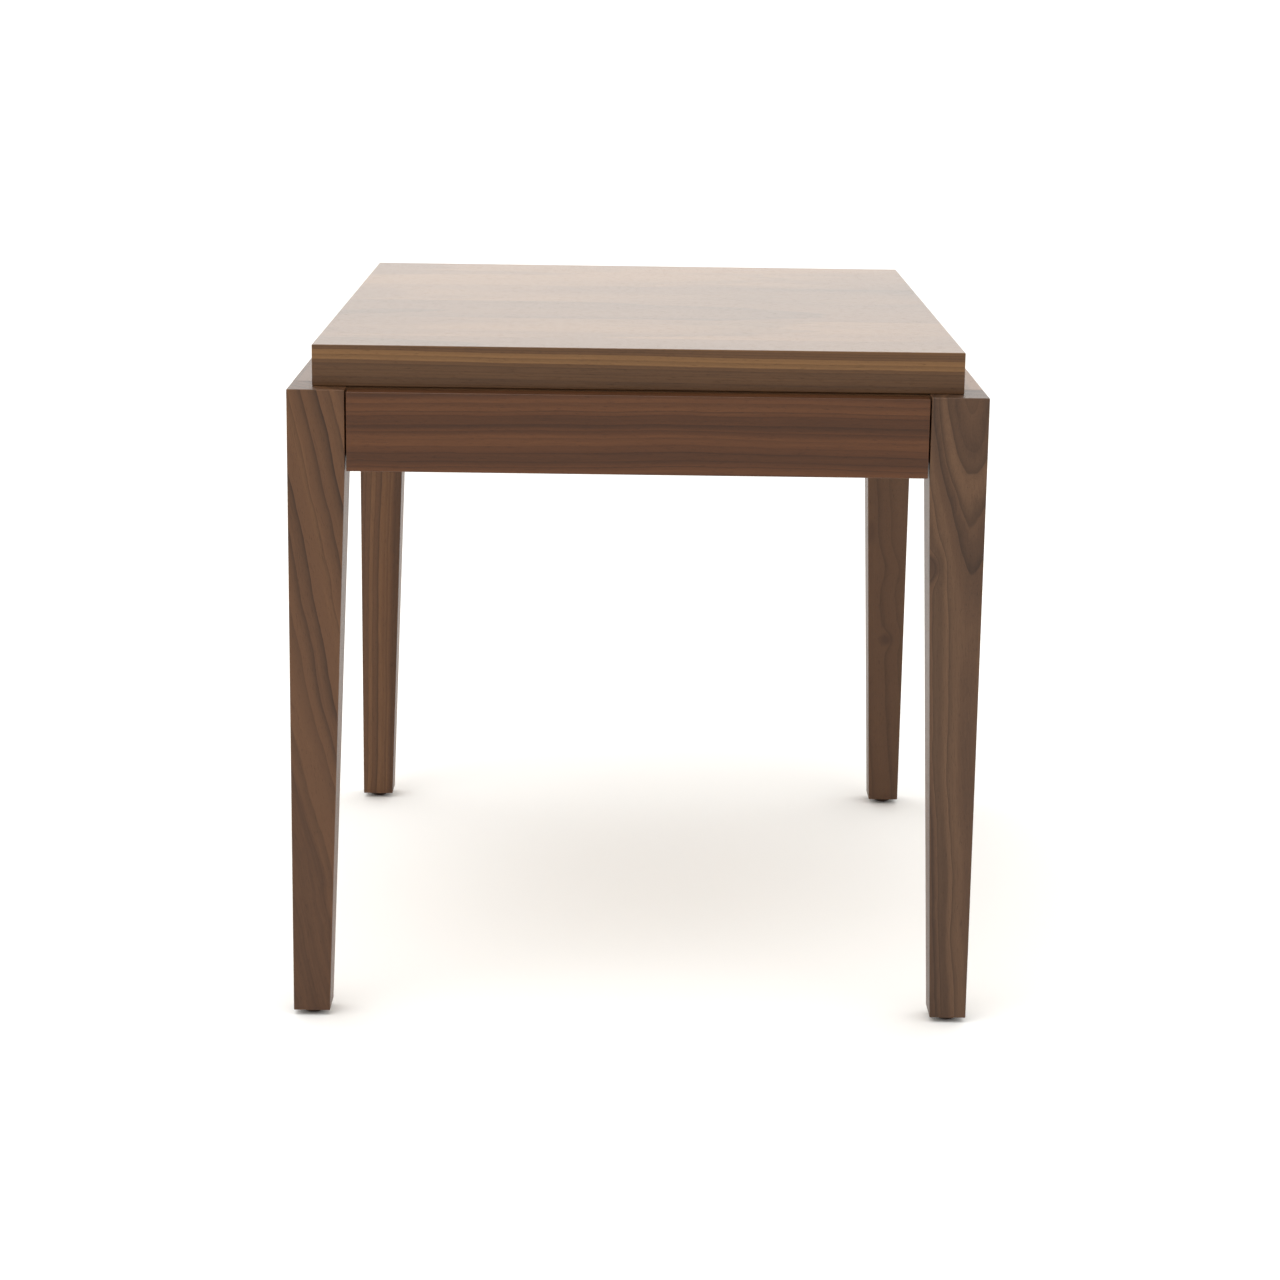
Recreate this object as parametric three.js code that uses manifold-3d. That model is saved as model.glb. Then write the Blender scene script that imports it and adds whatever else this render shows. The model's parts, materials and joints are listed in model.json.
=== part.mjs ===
// A walnut side table with one drawer that has no handle.
// Two leg-and-apron side frames are joined by a back apron and a flat front rail. The top is smaller
// than the frame, so that the frame's upper edge shows as a narrow ledge on all four sides. The
// drawer front closes the space between the front legs and is pulled by a bevel under its lower
// edge. The dovetailed drawer box runs on two full-extension slides, which stand on packers inside
// the side aprons.
// Millimetres, +Z up. The origin is on the floor, at the middle of the footprint. The drawer opens
// towards -Y.

import * as THREE from "three";
import { mergeVertices } from "three/addons/utils/BufferGeometryUtils.js";
import Module from "manifold-3d";

const wasm = await Module();
wasm.setup();

// ---- Driving dimensions ----

const WIDTH = 559; // across the outer faces of the legs
const DEPTH = 660; // over the front and back faces of the legs
const HEIGHT = 559; // floor to the upper face of the top
const TOP_THICK = 33.5;
const TOP_INSET = 18.5; // how far the top stands in from the frame, on every side
const LEG_TOP = 46; // side of the square leg beside the aprons
const LEG_FOOT = 30; // side of the square leg at the floor
const APRON_HEIGHT = 65.5;
const APRON_THICK = 20;
const TENON = { thick: 9, long: 20, high: 46 };
const RAIL = { thick: 16, deep: 45, setBack: 2 }; // the flat rail over the drawer
const RAIL_TENON = { thick: 8, long: 14, wide: 18 };
const BLOCK = { leg: 60, high: 40 }; // triangular corner block
const PACKER_RISE = 4; // the packers stop this much above the aprons' lower edges
const JOINT_GAP = 0.3; // glue line round a tenon, a dovetail or a screw

const FRONT_THICK = 18;
const FRONT_SIDE_GAP = 1.2; // shadow gap between the drawer front and each leg
const FRONT_TOP_GAP = 1.5; // the drawer front stands this much lower than the legs
const PULL = { lip: 9, high: 9 }; // bevel under the drawer front, for the fingers
const BOX = { long: 520, rise: 6.5, high: 40, thick: 12 }; // the drawer box
const BOTTOM = { thick: 5, above: 4, housed: 6 }; // drawer bottom, in a groove all round
const TAILS = { count: 3, root: 6.5, end: 9.5 }; // dovetails at each corner of the box

const SLIDE = { thick: 13, high: 35, long: 500, middleLong: 480, middleBack: 8, setBack: 22 };
const SHEET = 1.2; // steel of the slides
// Across a slide, measured from its packer: the outer member's mouth, the middle member's two
// flanges and its web, and the inner member's edge. Each member nests in the one before it.
const MEMBER = { ballRoom: 4, lip: 3, mouth: 8.5, flange: 1, from: 2.2, to: 10.8, web: [6, 7], inner: 8 };
const GLIDE = { high: 4.5, radius: 9, flat: 6, cornerIn: 1, cornerLow: 0.9, cornerHigh: 2.4 };
const GLIDE_NAIL = { radius: 1.25, long: 14, point: 2, overlap: 1 };
const BUMPER = { radius: 5, long: 1.7, x: 150, drop: 9 };

const HEAD_EDGE = 0.3; // height of the straight rim round a screw's head
const SCREW_POINT = 3;
const WOOD_SCREW = { radius: 2, head: 4, segments: 8 };
const SLIDE_SCREW = { radius: 1.75, head: 3.4, segments: 8 };

// Where the screws go. A reach is how far a screw goes through the piece that it holds down, and a
// seat is how deep its head lies in a counterbore. Places along the table are y, from its middle.
const TOP_SCREW = { long: 35, railX: 150, middleY: 40, corner: 20, reach: 20, seat: 50 };
const BLOCK_SCREW = { long: 30, corner: 43, sunk: 1.5, rise: 12, seat: 12 };
const PACKER_SCREW = { long: 35, drop: 11.5, front: -180, back: 200 };
const OUTER_SCREW = { long: 16, front: -240, back: 140 };
const INNER_SCREW = { long: 11.5, front: -260, back: 150 };
const FRONT_SCREW = { long: 25, inner: 60, outer: 170, rise: 24 };
const FLUSH = 1; // counterbore of a screw whose head lies level with the wood

// ---- Places worked out from them ----

const HALF_W = WIDTH / 2;
const HALF_D = DEPTH / 2;
const FRAME_TOP = HEIGHT - TOP_THICK; // upper ends of the legs, and the underside of the top
const APRON_LOW = FRAME_TOP - APRON_HEIGHT;
const OPENING = HALF_W - LEG_TOP; // from the centre line to a leg's inner face
const LEG_BACK = HALF_D - LEG_TOP; // from the centre line to a leg's other inner face
const APRON_IN = HALF_W - APRON_THICK; // inner face of a side apron
const BACK_IN = HALF_D - APRON_THICK; // inner face of the back apron
const FRONT_BACK = -HALF_D + FRONT_THICK; // back of the drawer front
const RAIL_FRONT = FRONT_BACK + RAIL.setBack;
const RAIL_BACK = RAIL_FRONT + RAIL.deep;
const RAIL_LOW = FRAME_TOP - RAIL.thick;
const BOX_OUT = OPENING - SLIDE.thick; // from the centre line to the drawer box's outer face
const BOX_IN = BOX_OUT - BOX.thick;
const BOX_BACK = FRONT_BACK + BOX.long;
const BOX_LOW = APRON_LOW + BOX.rise;
const SLIDE_FRONT = -HALF_D + SLIDE.setBack;
const SLIDE_Z = BOX_LOW + BOX.high / 2;
const TENON_Z = (APRON_LOW + FRAME_TOP) / 2;

// ---- Finishes ----

function finish(color, roughness, metalness = 0) {
  return new THREE.MeshStandardMaterial({ color, roughness, metalness });
}
const WALNUT = finish(0x6b4d3a, 0.42);
const SECONDARY_WOOD = finish(0xc2a27c, 0.6);
const PLYWOOD = finish(0xcdb48f, 0.6);
const ZINC_STEEL = finish(0xb4b7ba, 0.35, 1);
const SCREW_STEEL = finish(0xa9a49a, 0.38, 1);
const GLIDE_PLASTIC = finish(0x3a2a20, 0.5);
const BUMPER_RUBBER = finish(0xb9b5ad, 0.6);

// ---- Solid tools ----

function toSolid(geometry) {
  const source = geometry.index ? geometry.toNonIndexed() : geometry.clone();
  const bare = new THREE.BufferGeometry();
  bare.setAttribute("position", source.getAttribute("position"));
  const merged = mergeVertices(bare, 1e-3);
  const vertProperties = merged.attributes.position.array;
  const triVerts = new Uint32Array(merged.index.array);
  return new wasm.Manifold(new wasm.Mesh({ numProp: 3, vertProperties, triVerts }));
}

function toGeometry(solid) {
  const mesh = solid.getMesh();
  const geometry = new THREE.BufferGeometry();
  geometry.setAttribute("position", new THREE.BufferAttribute(mesh.vertProperties, 3));
  geometry.setIndex(new THREE.BufferAttribute(mesh.triVerts, 1));
  return geometry;
}

function cut(geometry, cutters) {
  let solid = toSolid(geometry);
  for (const cutter of cutters) solid = solid.subtract(toSolid(cutter));
  return toGeometry(solid);
}

function join(geometries) {
  return toGeometry(geometries.map(toSolid).reduce((whole, next) => whole.add(next)));
}

// A box between two corners, given as [low, high] along each axis.
function block([x0, x1], [y0, y1], [z0, z1]) {
  const made = new THREE.BoxGeometry(Math.abs(x1 - x0), Math.abs(y1 - y0), Math.abs(z1 - z0));
  return made.translate((x0 + x1) / 2, (y0 + y1) / 2, (z0 + z1) / 2);
}

// An outline of [a, b] points, extruded. Along y the outline is in x and z, along x it is in y and
// z, and along z it is in x and y.
function prism(outline, axis, [from, to]) {
  const shape = new THREE.Shape(outline.map(([a, b]) => new THREE.Vector2(a, b)));
  const made = new THREE.ExtrudeGeometry(shape, { depth: to - from, bevelEnabled: false });
  if (axis === "z") return made.translate(0, 0, from);
  made.rotateX(Math.PI / 2);
  if (axis === "y") return made.translate(0, to, 0);
  return made.rotateZ(Math.PI / 2).translate(from, 0, 0);
}

const DIRECTIONS = {
  "+z": new THREE.Vector3(0, 0, 1),
  "+x": new THREE.Vector3(1, 0, 0),
  "-x": new THREE.Vector3(-1, 0, 0),
  "+y": new THREE.Vector3(0, 1, 0),
  "-y": new THREE.Vector3(0, -1, 0),
};

// Turns a lathed shape, which stands along +Y, to point along a direction.
function aim(geometry, direction) {
  const turn = new THREE.Quaternion();
  turn.setFromUnitVectors(new THREE.Vector3(0, 1, 0), DIRECTIONS[direction]);
  return geometry.applyQuaternion(turn);
}

function lathe(profile, segments) {
  return new THREE.LatheGeometry(profile.map(([r, h]) => new THREE.Vector2(r, h)), segments);
}

// A countersunk screw with its head's flat face at the origin and its point along the direction.
// grow makes the hole for it, and seat opens that hole behind the head, down a counterbore.
function screwShape(kind, long, direction, grow = 0, seat = 0) {
  const radius = kind.radius + grow;
  const head = kind.head + grow;
  const low = grow > 0 ? -(seat + grow) : 0;
  const profile = [
    [0, low],
    [head, low],
    [head, HEAD_EDGE],
    [radius, HEAD_EDGE + kind.head - kind.radius],
    [radius, long - SCREW_POINT + grow],
    [0, long + grow],
  ];
  return aim(lathe(profile, kind.segments), direction);
}

// ---- The list of screws: each is made once, and drilled into every piece that it passes ----

const screws = [];
function addScrew(name, kind, long, direction, at, through, seat = 0, group = "frame") {
  screws.push({ name, kind, long, direction, at, through, seat, group });
}

function holesFor(pieceName) {
  const passing = screws.filter((screw) => screw.through.includes(pieceName));
  return passing.map(({ kind, long, direction, at, seat }) =>
    screwShape(kind, long, direction, JOINT_GAP, seat).translate(...at),
  );
}

const SIDES = [
  ["left", -1],
  ["right", 1],
];

function outwards(s) {
  return s > 0 ? "+x" : "-x";
}

function planTopScrews() {
  const { long, railX, middleY, corner, reach, seat } = TOP_SCREW;
  for (const [side, s] of SIDES) {
    addScrew(`top_screw_front_${side}`, WOOD_SCREW, long, "+z",
      [s * railX, (RAIL_FRONT + RAIL_BACK) / 2, RAIL_LOW], ["front_rail", "table_top"], FLUSH);
    addScrew(`top_screw_middle_${side}`, WOOD_SCREW, long, "+z",
      [s * (OPENING + APRON_IN) / 2, middleY, FRAME_TOP - reach],
      [`slide_packer_${side}`, "table_top"], seat);
    addScrew(`top_screw_back_${side}`, WOOD_SCREW, long, "+z",
      [s * (OPENING - corner), BACK_IN - corner, FRAME_TOP - reach],
      [`corner_block_${side}`, "table_top"], seat);
  }
}

// Each corner block is screwed to both walls of its corner, square through its slanting face.
function planBlockScrews() {
  const { long, corner, sunk, rise, seat } = BLOCK_SCREW;
  const deep = BLOCK.leg - corner - sunk;
  const z = FRAME_TOP - BLOCK.high + rise;
  for (const [side, s] of SIDES) {
    addScrew(`block_side_screw_${side}`, WOOD_SCREW, long, outwards(s),
      [s * (OPENING - deep), BACK_IN - corner, z],
      [`corner_block_${side}`, `slide_packer_${side}`], seat);
    addScrew(`block_back_screw_${side}`, WOOD_SCREW, long, "+y",
      [s * (OPENING - corner), BACK_IN - deep, z], [`corner_block_${side}`, "apron_back"], seat);
  }
}

function planSlideScrews() {
  for (const [side, s] of SIDES) {
    for (const end of ["front", "back"]) {
      addScrew(`packer_screw_${end}_${side}`, WOOD_SCREW, PACKER_SCREW.long, outwards(s),
        [s * OPENING, PACKER_SCREW[end], FRAME_TOP - PACKER_SCREW.drop],
        [`slide_packer_${side}`, `apron_${side}`], FLUSH);
      addScrew(`slide_screw_${end}_${side}`, SLIDE_SCREW, OUTER_SCREW.long, outwards(s),
        [s * (OPENING - SHEET), OUTER_SCREW[end], SLIDE_Z],
        [`slide_outer_${side}`, `slide_packer_${side}`], FLUSH);
      addScrew(`runner_screw_${end}_${side}`, SLIDE_SCREW, INNER_SCREW.long, outwards(-s),
        [s * (BOX_OUT + SHEET), INNER_SCREW[end], SLIDE_Z],
        [`slide_inner_${side}`, `drawer_side_${side}`], FLUSH, "drawer");
    }
  }
}

function planFrontScrews() {
  for (const [side, s] of SIDES) {
    for (const place of ["inner", "outer"]) {
      addScrew(`front_screw_${place}_${side}`, WOOD_SCREW, FRONT_SCREW.long, "-y",
        [s * FRONT_SCREW[place], FRONT_BACK + BOX.thick, BOX_LOW + FRONT_SCREW.rise],
        ["drawer_box_front", "drawer_front"], FLUSH, "drawer");
    }
  }
}

planTopScrews();
planBlockScrews();
planSlideScrews();
planFrontScrews();

// ---- Pieces ----

const table = new THREE.Group();
const groups = { frame: new THREE.Group(), middles: new THREE.Group(), drawer: new THREE.Group() };
Object.values(groups).forEach((group) => table.add(group));

// Adds a piece whose geometry is in the table's frame. Its mesh is placed at the middle of the
// piece, and the geometry is moved back by as much.
function add(group, name, geometry, material) {
  const holes = holesFor(name);
  const made = holes.length ? cut(geometry, holes) : geometry;
  made.computeBoundingBox();
  const centre = made.boundingBox.getCenter(new THREE.Vector3());
  centre.set(...centre.toArray().map((v) => Math.round(v * 4) / 4));
  const mesh = new THREE.Mesh(made.translate(-centre.x, -centre.y, -centre.z), material);
  mesh.name = name;
  mesh.position.copy(centre);
  groups[group].add(mesh);
}

// The tenons of a side apron, as one tongue along it, and those of the back apron.
function sideTongue(s, grow = 0) {
  const x = s * (HALF_W - APRON_THICK / 2);
  const thick = TENON.thick / 2 + grow;
  const high = TENON.high / 2 + grow;
  const long = LEG_BACK + TENON.long + grow;
  return block([x - thick, x + thick], [-long, long], [TENON_Z - high, TENON_Z + high]);
}

// The flat rail has a stub tenon at each end, in the leg.
function railTongue(grow = 0) {
  const y = (RAIL_FRONT - LEG_BACK) / 2;
  const wide = RAIL_TENON.wide / 2 + grow;
  const z = FRAME_TOP - RAIL.thick / 2;
  const thick = RAIL_TENON.thick / 2 + grow;
  const long = OPENING + RAIL_TENON.long + grow;
  return block([-long, long], [y - wide, y + wide], [z - thick, z + thick]);
}

function backTongue(grow = 0) {
  const y = HALF_D - APRON_THICK / 2;
  const thick = TENON.thick / 2 + grow;
  const high = TENON.high / 2 + grow;
  const long = OPENING + TENON.long + grow;
  return block([-long, long], [y - thick, y + thick], [TENON_Z - high, TENON_Z + high]);
}

// A leg is a square post with two tapers sawn off its inner faces, below the aprons.
function legOutline(s, half) {
  return [
    [s * half, GLIDE.high],
    [s * (half - LEG_FOOT), GLIDE.high],
    [s * (half - LEG_TOP), APRON_LOW],
    [s * (half - LEG_TOP), FRAME_TOP],
    [s * half, FRAME_TOP],
  ];
}

function glideShape(grow = 0) {
  const nail = GLIDE_NAIL.radius + grow;
  const tip = GLIDE.high + GLIDE_NAIL.long + grow;
  const low = GLIDE.high - GLIDE_NAIL.overlap;
  const nailOnly = [[0, low], [nail, low], [nail, tip - GLIDE_NAIL.point], [0, tip]];
  const whole = [
    [0, 0],
    [GLIDE.flat, 0],
    [GLIDE.radius - GLIDE.cornerIn, GLIDE.cornerLow],
    [GLIDE.radius, GLIDE.cornerHigh],
    [GLIDE.radius, GLIDE.high],
    [nail, GLIDE.high],
    [nail, tip - GLIDE_NAIL.point],
    [0, tip],
  ];
  return aim(lathe(grow > 0 ? nailOnly : whole, 16), "+z");
}

function footCentre(sx, sy) {
  return [sx * (HALF_W - LEG_FOOT / 2), sy * (HALF_D - LEG_FOOT / 2), 0];
}

function addLegs() {
  for (const [side, sx] of SIDES) {
    for (const [end, sy] of [["front", -1], ["back", 1]]) {
      const acrossX = prism(legOutline(sx, HALF_W), "y", [-HALF_D, HALF_D]);
      const acrossY = prism(legOutline(sy, HALF_D), "x", [-HALF_W, HALF_W]);
      const post = toGeometry(toSolid(acrossX).intersect(toSolid(acrossY)));
      const mortises = [sideTongue(sx, JOINT_GAP)];
      mortises.push(end === "back" ? backTongue(JOINT_GAP) : railTongue(JOINT_GAP));
      const nailHole = glideShape(JOINT_GAP).translate(...footCentre(sx, sy));
      add("frame", `leg_${end}_${side}`, cut(post, [...mortises, nailHole]), WALNUT);
      const glide = glideShape().translate(...footCentre(sx, sy));
      add("frame", `glide_${end}_${side}`, glide, GLIDE_PLASTIC);
    }
  }
}

function addAprons() {
  const z = [APRON_LOW, FRAME_TOP];
  for (const [side, s] of SIDES) {
    const board = block([s * APRON_IN, s * HALF_W], [-LEG_BACK, LEG_BACK], z);
    add("frame", `apron_${side}`, join([board, sideTongue(s)]), WALNUT);
    const packerZ = [APRON_LOW + PACKER_RISE, FRAME_TOP];
    const packer = block([s * OPENING, s * APRON_IN], [-LEG_BACK, LEG_BACK], packerZ);
    add("frame", `slide_packer_${side}`, packer, SECONDARY_WOOD);
  }
  const back = block([-OPENING, OPENING], [BACK_IN, HALF_D], z);
  add("frame", "apron_back", join([back, backTongue()]), WALNUT);
}

function addRailAndBlocks() {
  const rail = block([-OPENING, OPENING], [RAIL_FRONT, RAIL_BACK], [RAIL_LOW, FRAME_TOP]);
  add("frame", "front_rail", join([rail, railTongue()]), WALNUT);
  for (const [side, s] of SIDES) {
    const corner = [
      [s * OPENING, BACK_IN],
      [s * (OPENING - BLOCK.leg), BACK_IN],
      [s * OPENING, BACK_IN - BLOCK.leg],
    ];
    const shape = prism(corner, "z", [FRAME_TOP - BLOCK.high, FRAME_TOP]);
    add("frame", `corner_block_${side}`, shape, SECONDARY_WOOD);
  }
}

function addTop() {
  const x = HALF_W - TOP_INSET;
  const y = HALF_D - TOP_INSET;
  add("frame", "table_top", block([-x, x], [-y, y], [FRAME_TOP, HEIGHT]), WALNUT);
}

// Sections of the three slide members: u runs from the packer towards the drawer, and v is up from
// the slide's centre line. Each member nests in the one before it, with room for a row of balls.
function slideSections() {
  const { ballRoom, lip, mouth, flange } = MEMBER;
  const o = SLIDE.high / 2;
  const outer = [
    [0, o], [mouth, o], [mouth, o - lip], [mouth - SHEET, o - lip],
    [mouth - SHEET, o - SHEET], [SHEET, o - SHEET],
  ];
  const m = o - ballRoom;
  const middle = [
    [MEMBER.from, m - flange], [MEMBER.from, m], [MEMBER.to, m], [MEMBER.to, m - flange],
    [MEMBER.web[1], m - flange],
  ];
  const i = m - ballRoom;
  const inner = [
    [SLIDE.thick, i], [MEMBER.inner, i], [MEMBER.inner, i - SHEET], [SLIDE.thick - SHEET, i - SHEET],
  ];
  const mirrored = (half) => [...half, ...half.map(([u, v]) => [u, -v]).reverse()];
  return {
    outer: mirrored(outer),
    middle: [...mirrored(middle), [MEMBER.web[0], flange - m], [MEMBER.web[0], m - flange]],
    inner: mirrored(inner),
  };
}

function addSlides() {
  const sections = slideSections();
  const middleFront = SLIDE_FRONT + SLIDE.middleBack;
  const lengths = {
    outer: [SLIDE_FRONT, SLIDE_FRONT + SLIDE.long],
    middle: [middleFront, middleFront + SLIDE.middleLong],
    inner: [SLIDE_FRONT, SLIDE_FRONT + SLIDE.long],
  };
  const homes = { outer: "frame", middle: "middles", inner: "drawer" };
  for (const [side, s] of SIDES) {
    for (const [member, section] of Object.entries(sections)) {
      const outline = section.map(([u, v]) => [s * (OPENING - u), SLIDE_Z + v]);
      const shape = prism(outline, "y", lengths[member]);
      add(homes[member], `slide_${member}_${side}`, shape, ZINC_STEEL);
    }
  }
}

// The dovetail tails at one corner of the drawer box, which widen towards the board's end.
function tails(s, end, inwards, grow = 0) {
  const pitch = BOX.high / TAILS.count;
  const root = end + inwards * (BOX.thick + grow);
  const x = [BOX_IN - grow, BOX_OUT + grow].map((v) => s * v).sort((a, b) => a - b);
  return Array.from({ length: TAILS.count }, (_, k) => {
    const z = BOX_LOW + pitch * (k + 0.5);
    const outline = [
      [end - inwards * grow, z - TAILS.end / 2 - grow],
      [end - inwards * grow, z + TAILS.end / 2 + grow],
      [root, z + TAILS.root / 2 + grow],
      [root, z - TAILS.root / 2 - grow],
    ];
    return prism(outline, "x", x);
  });
}

function bottomPanel(grow = 0) {
  const x = BOX_IN + BOTTOM.housed + grow;
  const housed = BOX.thick - BOTTOM.housed - grow;
  const z = BOX_LOW + BOTTOM.above;
  return block([-x, x], [FRONT_BACK + housed, BOX_BACK - housed],
    [z - grow, z + BOTTOM.thick + grow]);
}

function addDrawerBox() {
  const z = [BOX_LOW, BOX_LOW + BOX.high];
  const groove = bottomPanel(JOINT_GAP);
  const inner = [FRONT_BACK + BOX.thick, BOX_BACK - BOX.thick];
  for (const [side, s] of SIDES) {
    const board = block([s * BOX_IN, s * BOX_OUT], inner, z);
    const overlap = 1; // the tails' root reaches this far into the board, so that they join
    const front = tails(s, FRONT_BACK, 1).concat(
      block([s * BOX_IN, s * BOX_OUT], [inner[0], inner[0] + overlap], z));
    const back = tails(s, BOX_BACK, -1);
    const whole = cut(join([board, ...front, ...back]), [groove]);
    add("drawer", `drawer_side_${side}`, whole, SECONDARY_WOOD);
  }
  const ends = [
    ["drawer_box_front", [FRONT_BACK, inner[0]], FRONT_BACK, 1],
    ["drawer_back", [inner[1], BOX_BACK], BOX_BACK, -1],
  ];
  for (const [name, y, end, inwards] of ends) {
    const board = block([-BOX_OUT, BOX_OUT], y, z);
    const sockets = [...tails(1, end, inwards, JOINT_GAP), ...tails(-1, end, inwards, JOINT_GAP)];
    add("drawer", name, cut(board, [...sockets, groove]), SECONDARY_WOOD);
  }
  add("drawer", "drawer_bottom", bottomPanel(), PLYWOOD);
}

function addDrawerFront() {
  const x = OPENING - FRONT_SIDE_GAP;
  const face = -HALF_D;
  const outline = [
    [face, APRON_LOW],
    [face + PULL.lip, APRON_LOW],
    [FRONT_BACK, APRON_LOW + PULL.high],
    [FRONT_BACK, FRAME_TOP - FRONT_TOP_GAP],
    [face, FRAME_TOP - FRONT_TOP_GAP],
  ];
  add("drawer", "drawer_front", prism(outline, "x", [-x, x]), WALNUT);
  for (const [side, s] of SIDES) {
    const dot = lathe([[0, 0], [BUMPER.radius, 0], [BUMPER.radius - 0.8, BUMPER.long],
      [0, BUMPER.long]], 12);
    const z = FRAME_TOP - BUMPER.drop;
    const stuck = aim(dot, "+y").translate(s * BUMPER.x, FRONT_BACK, z);
    add("drawer", `bumper_${side}`, stuck, BUMPER_RUBBER);
  }
}

function addScrews() {
  for (const { name, kind, long, direction, at, group } of screws) {
    const mesh = new THREE.Mesh(screwShape(kind, long, direction), SCREW_STEEL);
    mesh.name = name;
    mesh.position.set(...at);
    groups[group].add(mesh);
  }
}

addTop();
addLegs();
addAprons();
addRailAndBlocks();
addSlides();
addDrawerBox();
addDrawerFront();
addScrews();

export default table;
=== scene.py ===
# %% [markdown]
# # A walnut side table with a drawer
# The table is already designed: its joints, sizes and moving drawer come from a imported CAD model.
# This lesson gives it the finish of a real one. Each board gets softened edges and walnut that is
# solid all the way through, so that its figure runs round the corners as it does on real timber.
# The CAD model is loaded first, and its size is kept, because the finished table must not grow.

# %% The frame
import json
import math

import bmesh
import bpy
from mathutils import Euler, Matrix, Vector


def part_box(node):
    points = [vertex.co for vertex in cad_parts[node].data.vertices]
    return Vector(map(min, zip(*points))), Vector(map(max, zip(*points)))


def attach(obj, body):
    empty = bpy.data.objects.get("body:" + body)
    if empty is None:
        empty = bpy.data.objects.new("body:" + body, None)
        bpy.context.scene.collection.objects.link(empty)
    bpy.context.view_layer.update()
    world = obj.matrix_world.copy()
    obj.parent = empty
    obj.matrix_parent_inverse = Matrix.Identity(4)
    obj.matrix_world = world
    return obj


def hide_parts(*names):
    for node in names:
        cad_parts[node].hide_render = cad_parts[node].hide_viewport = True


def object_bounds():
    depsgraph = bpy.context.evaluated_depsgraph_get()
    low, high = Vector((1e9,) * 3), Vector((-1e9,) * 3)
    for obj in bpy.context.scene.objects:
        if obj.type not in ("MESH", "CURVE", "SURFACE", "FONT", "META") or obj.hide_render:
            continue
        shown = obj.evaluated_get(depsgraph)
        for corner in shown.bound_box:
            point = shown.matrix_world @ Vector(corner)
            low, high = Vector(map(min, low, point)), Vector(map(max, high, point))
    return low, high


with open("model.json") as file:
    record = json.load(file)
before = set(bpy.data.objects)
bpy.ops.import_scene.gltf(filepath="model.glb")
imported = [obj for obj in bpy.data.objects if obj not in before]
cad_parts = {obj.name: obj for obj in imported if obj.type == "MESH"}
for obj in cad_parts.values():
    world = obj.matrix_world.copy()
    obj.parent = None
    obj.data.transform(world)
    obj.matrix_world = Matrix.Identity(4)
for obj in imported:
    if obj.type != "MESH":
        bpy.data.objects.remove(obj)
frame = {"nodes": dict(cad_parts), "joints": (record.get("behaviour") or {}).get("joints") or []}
cad_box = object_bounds()
MM = 0.001
front, top_height = cad_box[0].y, cad_box[1].z
print("CAD box in metres:", [list(corner) for corner in cad_box])

# %% [markdown]
# ## Where the camera stands
# The camera looks at the drawer front from a little above the top, as someone standing a few steps
# away would. A long lens keeps the legs nearly parallel. The camera is aimed with three turns: a
# slight turn to the side, a tilt down, and a very small roll.

# %% Camera
EYE = Vector((-8, -2242, 864)) * MM  # sideways, in front of the drawer, above the floor
LENS = 80.2
TURN, TILT, ROLL = 0.29, 12.24, 0.80  # degrees
LENS_SHIFT = -0.05


def in_scene(name, data):
    """A new object that shows this mesh, lamp or camera."""
    thing = bpy.data.objects.new(name, data)
    bpy.context.collection.objects.link(thing)
    return thing


camera = in_scene("camera", bpy.data.cameras.new("camera"))
camera.data.lens = LENS
camera.data.sensor_width = 36
camera.data.shift_y = LENS_SHIFT
aim = (
    Matrix.Rotation(-math.radians(TURN), 4, "Z")
    @ Matrix.Rotation(math.radians(90 - TILT), 4, "X")
    @ Matrix.Rotation(math.radians(ROLL), 4, "Z")
)
camera.matrix_world = Matrix.Translation(EYE + Vector((0, front, 0))) @ aim
bpy.context.scene.camera = camera
print("camera at", [round(v, 3) for v in camera.matrix_world.translation])

# %% [markdown]
# ## Small tools for node trees
# The room, every finish and every repeated shape below are trees of nodes. Writing a tree out link
# by link is long, so `feed` sets or links one input, and `add_node` adds a node with its settings
# and inputs. `number` does a sum, and `spread` stretches a part of a value's range over another.


# %% Linking nodes
def feed(tree, socket, value):
    """Links another node's output to the socket, or sets a plain value on it."""
    if isinstance(value, bpy.types.NodeSocket):
        tree.links.new(value, socket)
    else:
        socket.default_value = value


def add_node(tree, kind, inputs=None, **settings):
    """A new node, with its settings made first, because they decide which inputs it has."""
    node = tree.nodes.new(kind)
    for name, value in settings.items():
        setattr(node, name, value)
    for name, value in (inputs or {}).items():
        feed(tree, node.inputs[name], value)
    return node


def number(tree, operation, *values, clamp=False):
    """A Math node: its output is the operation on one to three values."""
    inputs = dict(enumerate(values))
    return add_node(tree, "ShaderNodeMath", inputs, operation=operation, use_clamp=clamp).outputs[0]


def spread(tree, value, low, high, to_low=0.0, to_high=1.0):
    """Smoothly stretches the range low to high of a value over another range."""
    inputs = {"Value": value, "From Min": low, "From Max": high, "To Min": to_low, "To Max": to_high}
    node = add_node(tree, "ShaderNodeMapRange", inputs, interpolation_type="SMOOTHSTEP")
    return node.outputs["Result"]


print("node tools are ready")

# %% [markdown]
# ## A pale studio
# Satin lacquer shows its surroundings, so the room matters as much as the wood. A pale floor and a
# pale wall of light behind the table give the top and the inner faces of the legs their grey-white
# sheen. The room is dimmer on the camera's side, which keeps the fronts of the boards deep in
# colour. One large lamp overhead and a weaker one at the side give soft shading.

# %% Floor
FLOOR_HALF = 60.0
FLOOR_COLOUR, FLOOR_ROUGHNESS = (0.86, 0.86, 0.855), 0.9


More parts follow.
